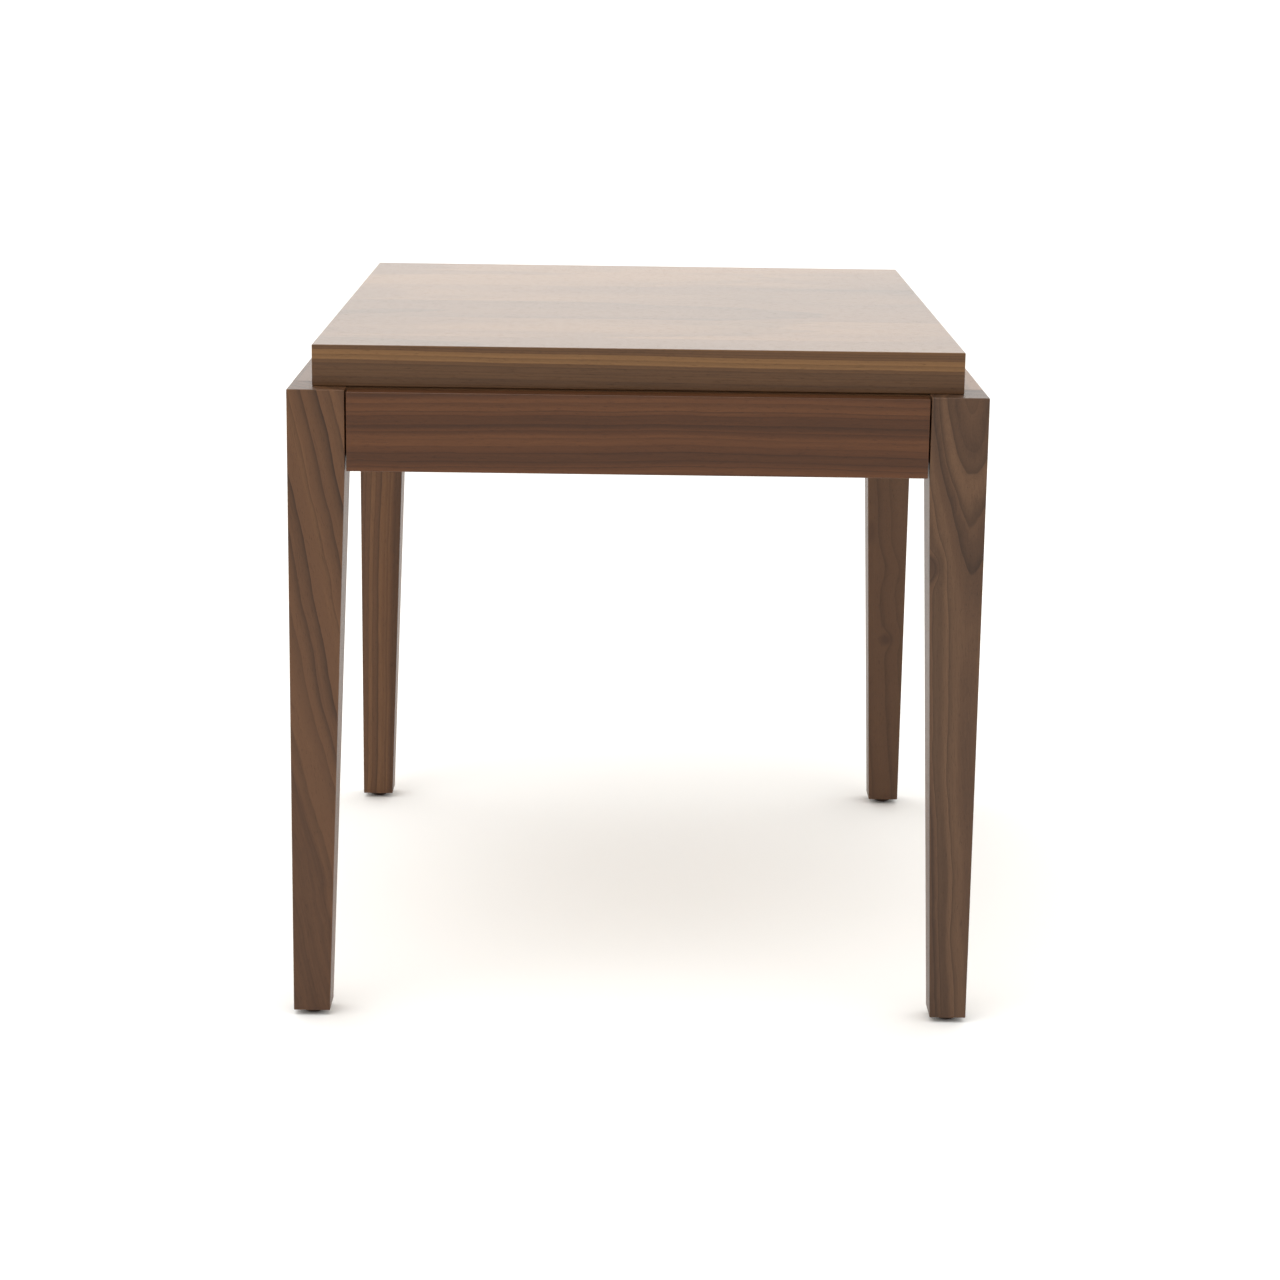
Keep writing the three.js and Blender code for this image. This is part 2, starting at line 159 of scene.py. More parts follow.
def plain_material(name, base, roughness):
    material = bpy.data.materials.new(name)
    material.use_nodes = True
    shader = material.node_tree.nodes["Principled BSDF"]
    shader.inputs["Base Color"].default_value = (*base, 1)
    shader.inputs["Roughness"].default_value = roughness
    return material


floor_mesh = bpy.data.meshes.new("floor")
corners = [(x * FLOOR_HALF, y * FLOOR_HALF, 0) for x, y in ((-1, -1), (1, -1), (1, 1), (-1, 1))]
floor_mesh.from_pydata(corners, [], [(0, 1, 2, 3)])
floor_mesh.materials.append(plain_material("studio_floor", FLOOR_COLOUR, FLOOR_ROUGHNESS))
in_scene("floor", floor_mesh)
print("floor", FLOOR_HALF * 2, "m across")

# %% World
BACK_WALL, CAMERA_SIDE, OVERHEAD = 2.15, 0.42, 1.4  # brightness of the room in each direction
SEEN_AS_WHITE = 1.2
ROOM_TINT = (1, 0.985, 0.955, 1)


def studio_world():
    """Bright behind the table, dim behind the camera, and seen by the camera itself as white."""
    world = bpy.data.worlds.new("studio")
    world.use_nodes = True
    tree = world.node_tree
    tree.nodes.clear()
    direction = add_node(tree, "ShaderNodeTexCoord").outputs["Generated"]
    parts = add_node(tree, "ShaderNodeSeparateXYZ", {0: direction}).outputs
    level = add_node(tree, "ShaderNodeMix", {
        "Factor": spread(tree, parts["Z"], 0.2, 0.9),
        "A": spread(tree, parts["Y"], -0.6, 0.6, CAMERA_SIDE, BACK_WALL),
        "B": OVERHEAD,
    })
    strength = add_node(tree, "ShaderNodeMix", {
        "Factor": add_node(tree, "ShaderNodeLightPath").outputs["Is Camera Ray"],
        "A": level.outputs["Result"],
        "B": SEEN_AS_WHITE,
    })
    background = add_node(tree, "ShaderNodeBackground", {
        "Color": ROOM_TINT, "Strength": strength.outputs["Result"],
    })
    add_node(tree, "ShaderNodeOutputWorld", {"Surface": background.outputs["Background"]})
    return world


bpy.context.scene.world = studio_world()
bpy.context.scene.view_settings.view_transform = "Standard"
print("world", BACK_WALL, "behind,", CAMERA_SIDE, "in front")

# %% Lamps
LOOK_AT = Vector((0, 0, 0.4))
LAMPS = {"overhead": ((-0.8, -1.4, 3.2), 2.6, 40), "side": ((2.6, -2.4, 1.6), 1.8, 6)}

for name, (place, size, power) in LAMPS.items():
    lamp = bpy.data.lights.new(name, "AREA")
    lamp.shape = "SQUARE"
    lamp.size = size
    lamp.energy = power
    holder = in_scene(name, lamp)
    holder.location = place
    holder.rotation_euler = (LOOK_AT - Vector(place)).to_track_quat("-Z", "Y").to_euler()
    print(name, "lamp,", size, "m square,", power, "W")

# %% [markdown]
# ## How wood is figured
# Wood looks as it does because a board is a slice through a log. Growth rings are cylinders round
# the pith, so a face that cuts them across shows lines, and one that grazes them shows arches. A
# flat picture of grain can't turn a corner, but a solid pattern can. The group `log_figure` works
# out, for any point of the board, how far it is from the pith, and from that which ring it is in.
# Z of its vector runs along the log. It puts out masks, and leaves the colours to each wood.
#
# A real log isn't straight, so the point is first pushed sideways by slow noise. `Wander` says how
# far. An effect that many materials share, as this one, is a node group with named inputs.


# %% Vectors, noise and groups
def on_vectors(tree, operation, *values, **named):
    """A Vector Math node. A length or a dot product is a number, and the rest are vectors."""
    inputs = {**dict(enumerate(values)), **named}
    outputs = add_node(tree, "ShaderNodeVectorMath", inputs, operation=operation).outputs
    return outputs["Value" if operation in ("LENGTH", "DOT_PRODUCT") else "Vector"]


def stretched(tree, vector, scale, offset=(0, 0, 0)):
    """A vector times a scale for each axis, plus an offset."""
    return on_vectors(tree, "ADD", on_vectors(tree, "MULTIPLY", vector, scale), offset)


def noise(tree, detail, roughness=0.5, output=0, **where):
    """Noise at a Vector, or along a line when only W is given. It's about 0.5 on average."""
    inputs = {**where, "Scale": 1.0, "Detail": detail, "Roughness": roughness}
    across = "1D" if "W" in where else "3D"
    return add_node(tree, "ShaderNodeTexNoise", inputs, noise_dimensions=across).outputs[output]


def new_group(name, inputs, numbers=(), vectors=(), colours=()):
    """An empty node group, whose outputs are named by kind. Returns the tree and its two ends.
    The length of an input's default says whether it is a number, a vector or a colour."""
    tree = bpy.data.node_groups.new(name, "ShaderNodeTree")
    sockets = {1: "NodeSocketFloat", 3: "NodeSocketVector", 4: "NodeSocketColor"}
    for label, default in inputs.items():
        kind = sockets[len(default) if isinstance(default, tuple) else 1]
        socket = tree.interface.new_socket(label, in_out="INPUT", socket_type=kind)
        socket.default_value = default
    for size, labels in ((1, numbers), (3, vectors), (4, colours)):
        for label in labels:
            tree.interface.new_socket(label, in_out="OUTPUT", socket_type=sockets[size])
    start = tree.nodes.new("NodeGroupInput").outputs
    end = tree.nodes.new("NodeGroupOutput").inputs
    return tree, start, end


def group_node(tree, group, inputs):
    """Places a group in a tree, and gives its outputs."""
    return add_node(tree, "ShaderNodeGroup", inputs, node_tree=group).outputs


def with_y(tree, parts, y):
    """A vector from separated parts, with another Y."""
    return add_node(tree, "ShaderNodeCombineXYZ", {"X": parts["X"], "Y": y, "Z": parts["Z"]}).outputs[0]


print("tools for patterns are ready")

# %% Log figure
# How often each pattern changes in a metre: across the log twice, and then along it.
CROOKEDNESS = (9, 9, 3)
BAND_DRIFT = (22, 22, 3)
WIDE_STREAKS = (420, 420, 9)
FINE_STREAKS = (1500, 1500, 36)
VESSELS = (3400, 3400, 130)


def make_log_figure():
    tree, start, end = new_group(
        "log_figure",
        {"Vector": (0, 0, 0), "Ring Width": 0.006, "Wander": 0.004, "Bulge": 0.0,
         "Line Sharpness": 3.0, "Seed": 0.0},
        numbers=("Ring Line", "Tone", "Streak", "Pore", "Radius"),
    )
    point, seed = start["Vector"], start["Seed"]
    slow = noise(
        tree, 4.5, 0.55, output="Color", Vector=stretched(tree, point, CROOKEDNESS, seed)
    )
    push = on_vectors(tree, "SUBTRACT", slow, (0.5, 0.5, 0.5))
    bent = on_vectors(tree, "ADD", point, on_vectors(tree, "SCALE", push, Scale=start["Wander"]))
    radius = on_vectors(tree, "LENGTH", on_vectors(tree, "MULTIPLY", bent, (1, 1, 0)))
    feed(tree, end["Radius"], radius)
    count = number(tree, "DIVIDE", radius, start["Ring Width"])
    rings = number(tree, "ADD", count, start["Bulge"])

    # Good and bad years: the rings are unevenly wide, and unevenly dark at their outer edge.
    along = number(tree, "MULTIPLY_ADD", rings, 0.7, seed)
    uneven = number(tree, "MULTIPLY_ADD", noise(tree, 1.0, W=along), 1.3, rings)
    part = number(tree, "FRACT", uneven)
    year = number(tree, "MULTIPLY_ADD", number(tree, "FLOOR", uneven), 7.3, seed)
    strength = spread(tree, noise(tree, 0.0, W=year), 0.3, 0.7, 0.4, 1.0)
    late_wood = number(tree, "POWER", part, start["Line Sharpness"])
    fade = spread(tree, part, 0.94, 1.0, 1.0, 0.0)
    line = number(tree, "MULTIPLY", number(tree, "MULTIPLY", late_wood, fade), strength)
    feed(tree, end["Ring Line"], line)

    # Broad bands of colour follow the rings over several years, and drift slowly along the log.
    shifted = number(tree, "MULTIPLY", seed, 3.7)
    years = noise(tree, 2.0, 0.55, W=number(tree, "MULTIPLY_ADD", rings, 0.42, shifted))
    drift = noise(tree, 1.0, Vector=stretched(tree, bent, BAND_DRIFT, seed))
    tone = number(tree, "MULTIPLY_ADD", drift, 0.3, number(tree, "SUBTRACT", years, 0.15))
    feed(tree, end["Tone"], spread(tree, tone, 0.3, 0.7))

    # Streaks are bundles of fibres, a few millimetres wide and as long as a hand.
    wide = noise(tree, 2.0, 0.6, Vector=stretched(tree, bent, WIDE_STREAKS, seed))
    fine = noise(tree, 2.0, 0.6, Vector=stretched(tree, bent, FINE_STREAKS, seed))
    streak = number(tree, "MULTIPLY_ADD", fine, 0.45, number(tree, "MULTIPLY", wide, 0.55))
    feed(tree, end["Streak"], streak)

    # Pores are open vessels, seen as short dark dashes along the grain.
    vessel = noise(tree, 1.0, Vector=stretched(tree, bent, VESSELS, seed))
    feed(tree, end["Pore"], spread(tree, vessel, 0.64, 0.72))
    return tree


LOG_FIGURE = make_log_figure()
print("group", LOG_FIGURE.name, "with", len(LOG_FIGURE.nodes), "nodes")

# %% [markdown]
# ## What happened to the tree
# Four things make one board's figure differ from another's. Where a branch left the trunk, the
# rings bulge round it: `knot_bulge` adds rings to the count near a chosen place, which bends the
# lines round it, and its heart is dark. A trunk that leans above some height cuts a straight board
# in nested arches there, which `trunk_crook` does by moving the point. In some years the wood grew
# lighter or darker, which is a `colour_zone` between two distances from the pith. And a wide top is
# glued up from narrow staves: `glued_staves` moves each stave to a place of its own in the log.


# %% Knot bulge
def make_knot_bulge():
    tree, start, end = new_group(
        "knot_bulge",
        {"Vector": (0, 0, 0), "Place": (0, 0, 0), "Size": (0.01, 0.01, 0.02), "Rings": 0.0},
        numbers=("Bulge", "Heart"),
    )
    away = on_vectors(tree, "SUBTRACT", start["Vector"], start["Place"])
    sized = on_vectors(tree, "DIVIDE", away, start["Size"])
    square = on_vectors(tree, "DOT_PRODUCT", sized, sized)
    fall = number(tree, "EXPONENT", number(tree, "MULTIPLY", square, -1.0))
    feed(tree, end["Bulge"], number(tree, "MULTIPLY", fall, start["Rings"]))
    feed(tree, end["Heart"], spread(tree, fall, 0.45, 0.95))
    return tree


KNOT_BULGE = make_knot_bulge()
print("group", KNOT_BULGE.name)


# %% Trunk crook
def make_trunk_crook():
    tree, start, end = new_group(
        "trunk_crook", {"Vector": (0, 0, 0), "Above": 0.3, "Lean": 0.0}, vectors=("Vector",)
    )
    parts = add_node(tree, "ShaderNodeSeparateXYZ", {0: start["Vector"]}).outputs
    height = number(tree, "MAXIMUM", number(tree, "SUBTRACT", parts["Z"], start["Above"]), 0.0)
    lean = number(tree, "MULTIPLY", number(tree, "MULTIPLY", height, height), start["Lean"])
    feed(tree, end["Vector"], with_y(tree, parts, number(tree, "ADD", parts["Y"], lean)))
    return tree


TRUNK_CROOK = make_trunk_crook()
print("group", TRUNK_CROOK.name)


# %% Colour zone
def make_colour_zone():
    tree, start, end = new_group(
        "colour_zone",
        {"Tone": 0.5, "Radius": 0.0, "From": 0.0, "To": 1.0, "Soft": 0.001, "Zone Tone": 0.5,
         "Share": 0.8},
        numbers=("Tone",),
    )
    radius, soft = start["Radius"], start["Soft"]
    begins = spread(tree, radius, start["From"], number(tree, "ADD", start["From"], soft))
    ends = spread(tree, radius, number(tree, "SUBTRACT", start["To"], soft), start["To"])
    inside = number(tree, "MULTIPLY", number(tree, "SUBTRACT", begins, ends), start["Share"])
    mixed = add_node(
        tree, "ShaderNodeMix", {"Factor": inside, "A": start["Tone"], "B": start["Zone Tone"]}
    )
    feed(tree, end["Tone"], mixed.outputs["Result"])
    return tree


COLOUR_ZONE = make_colour_zone()
print("group", COLOUR_ZONE.name)

# %% Glued staves
STAVE_SHIFT = 0.06  # how far apart the staves' places in the log may be


def make_glued_staves():
    tree, start, end = new_group(
        "glued_staves", {"Vector": (0, 0, 0), "Stave Width": 0.12},
        vectors=("Vector",), numbers=("Stave",),
    )
    parts = add_node(tree, "ShaderNodeSeparateXYZ", {0: start["Vector"]}).outputs
    count = number(tree, "FLOOR", number(tree, "DIVIDE", parts["Y"], start["Stave Width"]))
    feed(tree, end["Stave"], count)
    chance = add_node(
        tree, "ShaderNodeTexWhiteNoise", {"W": number(tree, "ADD", count, 3.0)},
        noise_dimensions="1D",
    ).outputs["Value"]
    middle = number(tree, "ADD", count, 0.5)
    back = number(tree, "MULTIPLY", start["Stave Width"], -1.0)
    centred = number(tree, "MULTIPLY_ADD", middle, back, parts["Y"])
    from_left = number(tree, "ADD", centred, -STAVE_SHIFT / 2)
    sideways = number(tree, "MULTIPLY_ADD", chance, STAVE_SHIFT, from_left)
    feed(tree, end["Vector"], with_y(tree, parts, sideways))
    return tree


GLUED_STAVES = make_glued_staves()
print("group", GLUED_STAVES.name)

# %% [markdown]
# ## Wear along the edges
# An edge is touched and knocked more than a face, so its finish is a little thinner there. The
# boards' rounded edges carry an attribute called `edge`, which is 1 on the rounding and 0 on the
# faces. The group `edge_wear` breaks that up with noise, so that the wear comes and goes. It is
# slight, because this is a new table.

# %% Edge wear
WEAR_PATCHES = (60, 60, 60)


def make_edge_wear():
    tree, start, end = new_group(
        "edge_wear", {"Vector": (0, 0, 0), "Amount": 0.5}, numbers=("Wear",)
    )
    edge = add_node(tree, "ShaderNodeAttribute", attribute_name="edge").outputs["Fac"]
    patches = noise(tree, 3.0, 0.65, Vector=stretched(tree, start["Vector"], WEAR_PATCHES))
    wear = number(tree, "MULTIPLY", edge, spread(tree, patches, 0.35, 0.65))
    feed(tree, end["Wear"], number(tree, "MULTIPLY", wear, start["Amount"], clamp=True))
    return tree


EDGE_WEAR = make_edge_wear()
print("group", EDGE_WEAR.name)

# %% [markdown]
# ## Any wood, from three colours
# A wood's colour goes from its dark bands through a middle tone to its light bands. The growth-ring
# lines, streaks and pores then darken it, and end grain, which drinks in more finish, is darker
# still. The group `wood_colour` does this for walnut and for the pale wood of the drawer alike.


# %% Colours
def colour(hex_digits):
    """A colour written as six hex digits, as Blender's linear red, green, blue and alpha."""
    parts = [int(hex_digits[k : k + 2], 16) / 255 for k in (0, 2, 4)]
    linear = [v / 12.92 if v <= 0.04045 else ((v + 0.055) / 1.055) ** 2.4 for v in parts]
    return (*linear, 1.0)


def blend_colour(tree, factor, a, b, mode="MIX"):
    """Mixes two colours."""
    node = add_node(tree, "ShaderNodeMix", data_type="RGBA", blend_type=mode)
    for socket, value in ((node.inputs["Factor"], factor), (node.inputs[6], a), (node.inputs[7], b)):
        feed(tree, socket, value)
    return node.outputs[2]


def darkened(tree, surface, mask, depth):
    """Multiplies a colour by a grey that is darker where the mask is."""
    share = number(tree, "MULTIPLY_ADD", number(tree, "MULTIPLY", mask, depth), -1.0, 1.0)
    grey = add_node(tree, "ShaderNodeCombineColor", {0: share, 1: share, 2: share}).outputs[0]
    return blend_colour(tree, 1.0, surface, grey, "MULTIPLY")


print("tools for colours are ready")

# %% Wood colour
PORE_DEPTH, END_GRAIN_DEPTH = 0.35, 0.2


def make_wood_colour():
    tree, start, end = new_group(
        "wood_colour",
        {"Tone": 0.5, "Ring Line": 0.0, "Streak": 0.5, "Pore": 0.0, "End Grain": 0.0, "Wear": 0.0,
         "Dark": colour("4a382b"), "Middle": colour("6b4f3b"), "Light": colour("8c6a4a"),
         "Line Depth": 0.5, "Streak Depth": 0.35},
        colours=("Colour",), numbers=("Height",),
    )
    streak = number(tree, "SUBTRACT", start["Streak"], 0.5)
    tone = number(tree, "MULTIPLY_ADD", streak, start["Streak Depth"], start["Tone"], clamp=True)
    dark_half = blend_colour(tree, spread(tree, tone, 0.0, 0.5), start["Dark"], start["Middle"])
    whole = blend_colour(tree, spread(tree, tone, 0.5, 1.0), dark_half, start["Light"])
    whole = darkened(tree, whole, start["Ring Line"], start["Line Depth"])
    whole = darkened(tree, whole, start["Pore"], PORE_DEPTH)
    whole = darkened(tree, whole, start["End Grain"], END_GRAIN_DEPTH)
    feed(tree, end["Colour"], blend_colour(tree, start["Wear"], whole, start["Light"]))
    sunk = number(tree, "MULTIPLY", start["Pore"], -1.0)
    height = number(tree, "MULTIPLY_ADD", start["Ring Line"], 0.35, sunk)
    feed(tree, end["Height"], number(tree, "MULTIPLY_ADD", streak, 0.4, height))
    return tree


WOOD_COLOUR = make_wood_colour()
print("group", WOOD_COLOUR.name)

# %% [markdown]
# ## Laying a board in its log
# A Mapping node of the texture kind says where the log is: its location is a point on the pith, and
# its rotation turns the log's Z to lie along the board's grain. A pith far to one side gives
# straight lines, and one just behind the face gives arches. Each board below has a log of its own,
# because no two boards come from the same place in the same tree.
#
# The finish is a thin satin lacquer. It is part of the wood's own shader, with a low index of
# refraction, and it is duller over pores and end grain and shinier where the edges are rubbed.


# %% A board's place in its log
def laid_in_log(tree, place, pith, turns, seed, staves, crook):
    """The point in the log's own directions, and the seed, which each stave has for itself."""
    board, year = place, seed
    if staves:
        stave = group_node(tree, GLUED_STAVES, {"Vector": place, "Stave Width": staves})
        board = stave["Vector"]
        year = number(tree, "MULTIPLY_ADD", stave["Stave"], 9.7, seed)
    if crook:
        above, lean = crook
        board = group_node(tree, TRUNK_CROOK, {"Vector": board, "Above": above, "Lean": lean})["Vector"]
    log = add_node(
        tree, "ShaderNodeMapping", {"Vector": board, "Location": pith, "Rotation": turns},
        vector_type="TEXTURE",
    ).outputs[0]
    return log, year


def knots_in(tree, place, knots):
    """How many rings the knots add at the point, and how dark their hearts make it."""
    bulge, heart = 0.0, 0.0
    for spot, size, rings, darkness in knots:
        knot = group_node(
            tree, KNOT_BULGE, {"Vector": place, "Place": spot, "Size": size, "Rings": rings}
        )
        bulge = number(tree, "ADD", knot["Bulge"], bulge)
        heart = number(tree, "MAXIMUM", number(tree, "MULTIPLY", knot["Heart"], darkness), heart)
    return bulge, heart


print("a board can be laid in a log")

# %% Wood material
LACQUER_IOR = 1.36
CALM_LINES = 0.3  # how much of the ring lines is left in calm wood


def wood_material(
    name, pith, lie, ring, seed, colours, wander=0.004, knots=(), zones=(), crook=None, staves=None,
    calm=None, line=0.5, sharp=3.0, streak=0.35, bands=1.0, roughness=0.4, wear=0.25,
):
    """pith is a point on the log's middle, lie its turns in degrees, and ring a ring's width.
    A knot is (place, size, rings, darkness), a zone (from, to, softness, tone, share) and a crook
    (above, lean). calm is a pair of distances from the pith: the ring lines fade towards the
    first. line, sharp, streak and bands say how strong each part of the figure is."""
    material = bpy.data.materials.new(name)
    material.use_nodes = True
    tree = material.node_tree
    shader = tree.nodes["Principled BSDF"]
    place = add_node(tree, "ShaderNodeTexCoord").outputs["Object"]
    turns = [math.radians(angle) for angle in lie]
    log, year = laid_in_log(tree, place, pith, turns, seed, staves, crook)
    bulge, heart = knots_in(tree, place, knots)
    figure = group_node(tree, LOG_FIGURE, {
        "Vector": log, "Ring Width": ring, "Wander": wander, "Bulge": bulge, "Seed": year,
        "Line Sharpness": sharp,
    })
    tone = number(tree, "MULTIPLY_ADD", figure["Tone"], bands, 0.5 - bands / 2)
    for begins, ends, soft, zone_tone, share in zones:
        tone = group_node(tree, COLOUR_ZONE, {
            "Tone": tone, "Radius": figure["Radius"], "From": begins, "To": ends, "Soft": soft,
            "Zone Tone": zone_tone, "Share": share,
        })["Tone"]
    lines = figure["Ring Line"]
    if calm:
        faded = spread(tree, figure["Radius"], *calm, CALM_LINES, 1.0)
        lines = number(tree, "MULTIPLY", lines, faded)
    grain = Euler(turns).to_matrix() @ Vector((0, 0, 1))
    normal = add_node(tree, "ShaderNodeNewGeometry").outputs["True Normal"]
    facing = number(tree, "ABSOLUTE", on_vectors(tree, "DOT_PRODUCT", normal, grain))
    end_grain = spread(tree, facing, 0.7, 0.98)
    worn = group_node(tree, EDGE_WEAR, {"Vector": place, "Amount": wear})["Wear"]
    dark, middle, light = (colour(code) for code in colours)
    wood = group_node(tree, WOOD_COLOUR, {
        "Tone": tone, "Ring Line": lines, "Streak": figure["Streak"], "Pore": figure["Pore"],
        "End Grain": end_grain, "Wear": worn, "Dark": dark, "Middle": middle, "Light": light,
        "Line Depth": line, "Streak Depth": streak,
    })
    feed(tree, shader.inputs["Base Color"], blend_colour(tree, heart, wood["Colour"], dark))
    shader.inputs["IOR"].default_value = LACQUER_IOR
    dull = number(tree, "MULTIPLY_ADD", figure["Pore"], 0.12, roughness)
    dull = number(tree, "MULTIPLY_ADD", end_grain, 0.03, dull)
    feed(tree, shader.inputs["Roughness"], number(tree, "MULTIPLY_ADD", worn, -0.06, dull))
    bump = add_node(
        tree, "ShaderNodeBump", {"Height": wood["Height"], "Strength": 0.35, "Distance": 0.2 * MM}
    )
    feed(tree, shader.inputs["Normal"], bump.outputs[0])
    return material


print("lacquer with an index of refraction of", LACQUER_IOR)

# %% [markdown]
# ## Walnut for each board
# The top's log lies 2.5 metres below it, so its rings are nearly flat, and three zones of colour
# run along its edge: a thin dark one, a golden one and a deep brown one. The front left leg was cut
# a little aslant, so its lines slope, and they fade towards its foot. The front right leg comes
# from a trunk with a crook and has arches over plain wood. The back legs are straight-grained, and
# the right one has a knot. The drawer front's pith is close behind it, which makes faint arches.

# %% Walnut colours and directions
BROWN = ("472f1f", "5e402a", "755235")
GREY_BROWN = ("402c1f", "553c2a", "694d37")
SOFT_BROWN = ("442e20", "5a3f2b", "6f5138")
GOLDEN_BROWN = ("483120", "5f4229", "7d5a37")
RED_BROWN = ("3b2313", "51301a", "653f24")
ALONG_X, ALONG_Y = (0, 90, 0), (-90, 0, 0)
print("five walnut colourings, from dark to light bands")

# %% Walnut of the top
TOP_LOG = -2.0
STAVE = 124.7 * MM


def below_top(depth):
    """The distance from the top's log to a point this many millimetres below the upper face."""
    return top_height - TOP_LOG - depth * MM


DEEP_BROWN_ZONE = (below_top(60), below_top(13), 0.002, 0.32, 0.8)
GOLDEN_ZONE = (below_top(14.5), below_top(5), 0.0015, 1.0, 0.85)
DARK_ZONE = (below_top(5), below_top(1), 0.001, 0.15, 0.5)
TOP_WALNUT = wood_material(
    "walnut_top", pith=(0, 0, TOP_LOG), lie=(0, 90.4, 0), ring=0.0035, seed=4,
    colours=GOLDEN_BROWN, staves=STAVE, wander=0.005, line=0.4, bands=0.5, streak=0.6,
    roughness=0.33, zones=(DEEP_BROWN_ZONE, GOLDEN_ZONE, DARK_ZONE),
)
print("the top's log lies", round(below_top(0), 2), "m below it, and its staves are",
      round(STAVE / MM, 1), "mm wide")

# %% Walnut of the legs
FRONT_LEFT_WALNUT = wood_material(
    "walnut_leg_front_left", pith=(-0.60, front - 0.29, 0.26), lie=(0, -12, 0), ring=0.0095,
    seed=11, colours=BROWN, wander=0.03, line=0.8, sharp=2.2, bands=0.35, streak=0.5,
    zones=((0.1, 0.4235, 0.002, 0.20, 0.9),), calm=(0.419, 0.4235),
)
SMALL_KNOT = ((0.240, front, 0.388), (0.009, 0.02, 0.014), 1.2, 0.5)
FRONT_RIGHT_WALNUT = wood_material(
    "walnut_leg_front_right", pith=(0.270, front + 0.032, 0.40), lie=(0, -3, 0), ring=0.0062,
    seed=21, colours=GREY_BROWN, wander=0.026, line=0.5, sharp=2.2, bands=0.5, streak=0.5,
    crook=(0.33, 0.65), knots=(SMALL_KNOT,),
)
BACK_LEFT_WALNUT = wood_material(
    "walnut_leg_back_left", pith=(-0.36, 0.27, 0.26), lie=(0, 1.2, 0), ring=0.0048, seed=33,
    colours=BROWN, wander=0.014, line=0.5, bands=0.5, streak=0.45,
)
OVAL_KNOT = ((0.261, 0.285, 0.178), (0.012, 0.03, 0.011), 0.7, 0.7)
SWELLING = ((0.250, 0.285, 0.255), (0.05, 0.05, 0.018), 0.5, 0.0)
DARK_CLOUD = ((0.240, 0.285, 0.292), (0.012, 0.03, 0.020), 0.0, 0.45)
BACK_RIGHT_WALNUT = wood_material(
    "walnut_leg_back_right", pith=(0.38, 0.36, 0.26), lie=(4, -3, 0), ring=0.013, seed=47,
    colours=SOFT_BROWN, wander=0.024, line=0.3, bands=0.2, streak=0.4,
    knots=(OVAL_KNOT, SWELLING, DARK_CLOUD),
)
print("walnut for four legs")

# %% Walnut of the aprons, the rail and the drawer front
FAINT_ARCH = ((0.04, front, 0.49), (0.2, 0.2, 0.08), -1.0, 0.0)
DRAWER_WALNUT = wood_material(
    "walnut_drawer_front", pith=(0, front + 0.03, 0.26), lie=(0, 90.3, 0), ring=0.0058, seed=83,
    colours=RED_BROWN, wander=0.014, line=0.5, bands=0.45, streak=0.5, knots=(FAINT_ARCH,),
)
WALNUT = {
    "table_top": TOP_WALNUT,
    "leg_front_left": FRONT_LEFT_WALNUT,
    "leg_front_right": FRONT_RIGHT_WALNUT,
    "leg_back_left": BACK_LEFT_WALNUT,
    "leg_back_right": BACK_RIGHT_WALNUT,
    "apron_left": wood_material("walnut_apron_left", (-0.33, 0, 0.43), ALONG_Y, 0.006, 51, BROWN),
    "apron_right": wood_material("walnut_apron_right", (0.34, 0, 0.42), ALONG_Y, 0.006, 61, BROWN),
    "apron_back": wood_material("walnut_apron_back", (0, 0.37, 0.41), ALONG_X, 0.006, 71, BROWN),
    "front_rail": wood_material("walnut_rail", (0, -0.1, 0.30), ALONG_X, 0.006, 77, BROWN),
    "drawer_front": DRAWER_WALNUT,
}
print(len(WALNUT), "walnut materials")

# %% [markdown]
# ## Pale wood inside
# The drawer box, the packers and the corner blocks aren't on show, so a maker uses a plain pale
# wood, oiled rather than lacquered. One material lies along X and one along Y, so that the grain
# runs along each board. The drawer's bottom is plywood, whose face veneer has a broad calm figure.

# %% Pale woods
PALE = ("8a6a46", "9d7c56", "ae8e67")
PLY = ("94764f", "a58862", "b39873")
PALE_FINISH = {"streak": 0.3, "roughness": 0.5}
PALE_WOOD = {
    "x": wood_material(
        "pale_wood_x", (0, 0.3, 0.2), ALONG_X, 0.004, 91, PALE, line=0.2, **PALE_FINISH
    ),
    "y": wood_material(
        "pale_wood_y", (0.1, 0, 0.2), ALONG_Y, 0.004, 95, PALE, line=0.2, **PALE_FINISH
    ),
}
PLYWOOD = wood_material(
    "plywood", (0, 0, 0.42), ALONG_Y, 0.012, 99, PLY, wander=0.012, line=0.25, bands=0.6,
    **PALE_FINISH,
)
print("two pale woods and a plywood")

# %% [markdown]
# ## Metal, plastic and rubber
# The slides are zinc-plated steel that was rolled into shape, so fine streaks run along them. The
# glides are moulded nylon, and the bumpers are clear soft dots.

# %% Metal
CLOUDS = (45, 45, 45)
RUBBED_METAL = (0.82, 0.82, 0.8, 1.0)


def finish_shader(tree, base, roughness, height, strength):
    """Feeds a material's colour, roughness and fine relief into its shader."""
    shader = tree.nodes["Principled BSDF"]
    bump = add_node(
        tree, "ShaderNodeBump", {"Height": height, "Strength": strength, "Distance": 0.1 * MM}
    )
    feed(tree, shader.inputs["Base Color"], base)
    feed(tree, shader.inputs["Roughness"], roughness)
    feed(tree, shader.inputs["Normal"], bump.outputs[0])


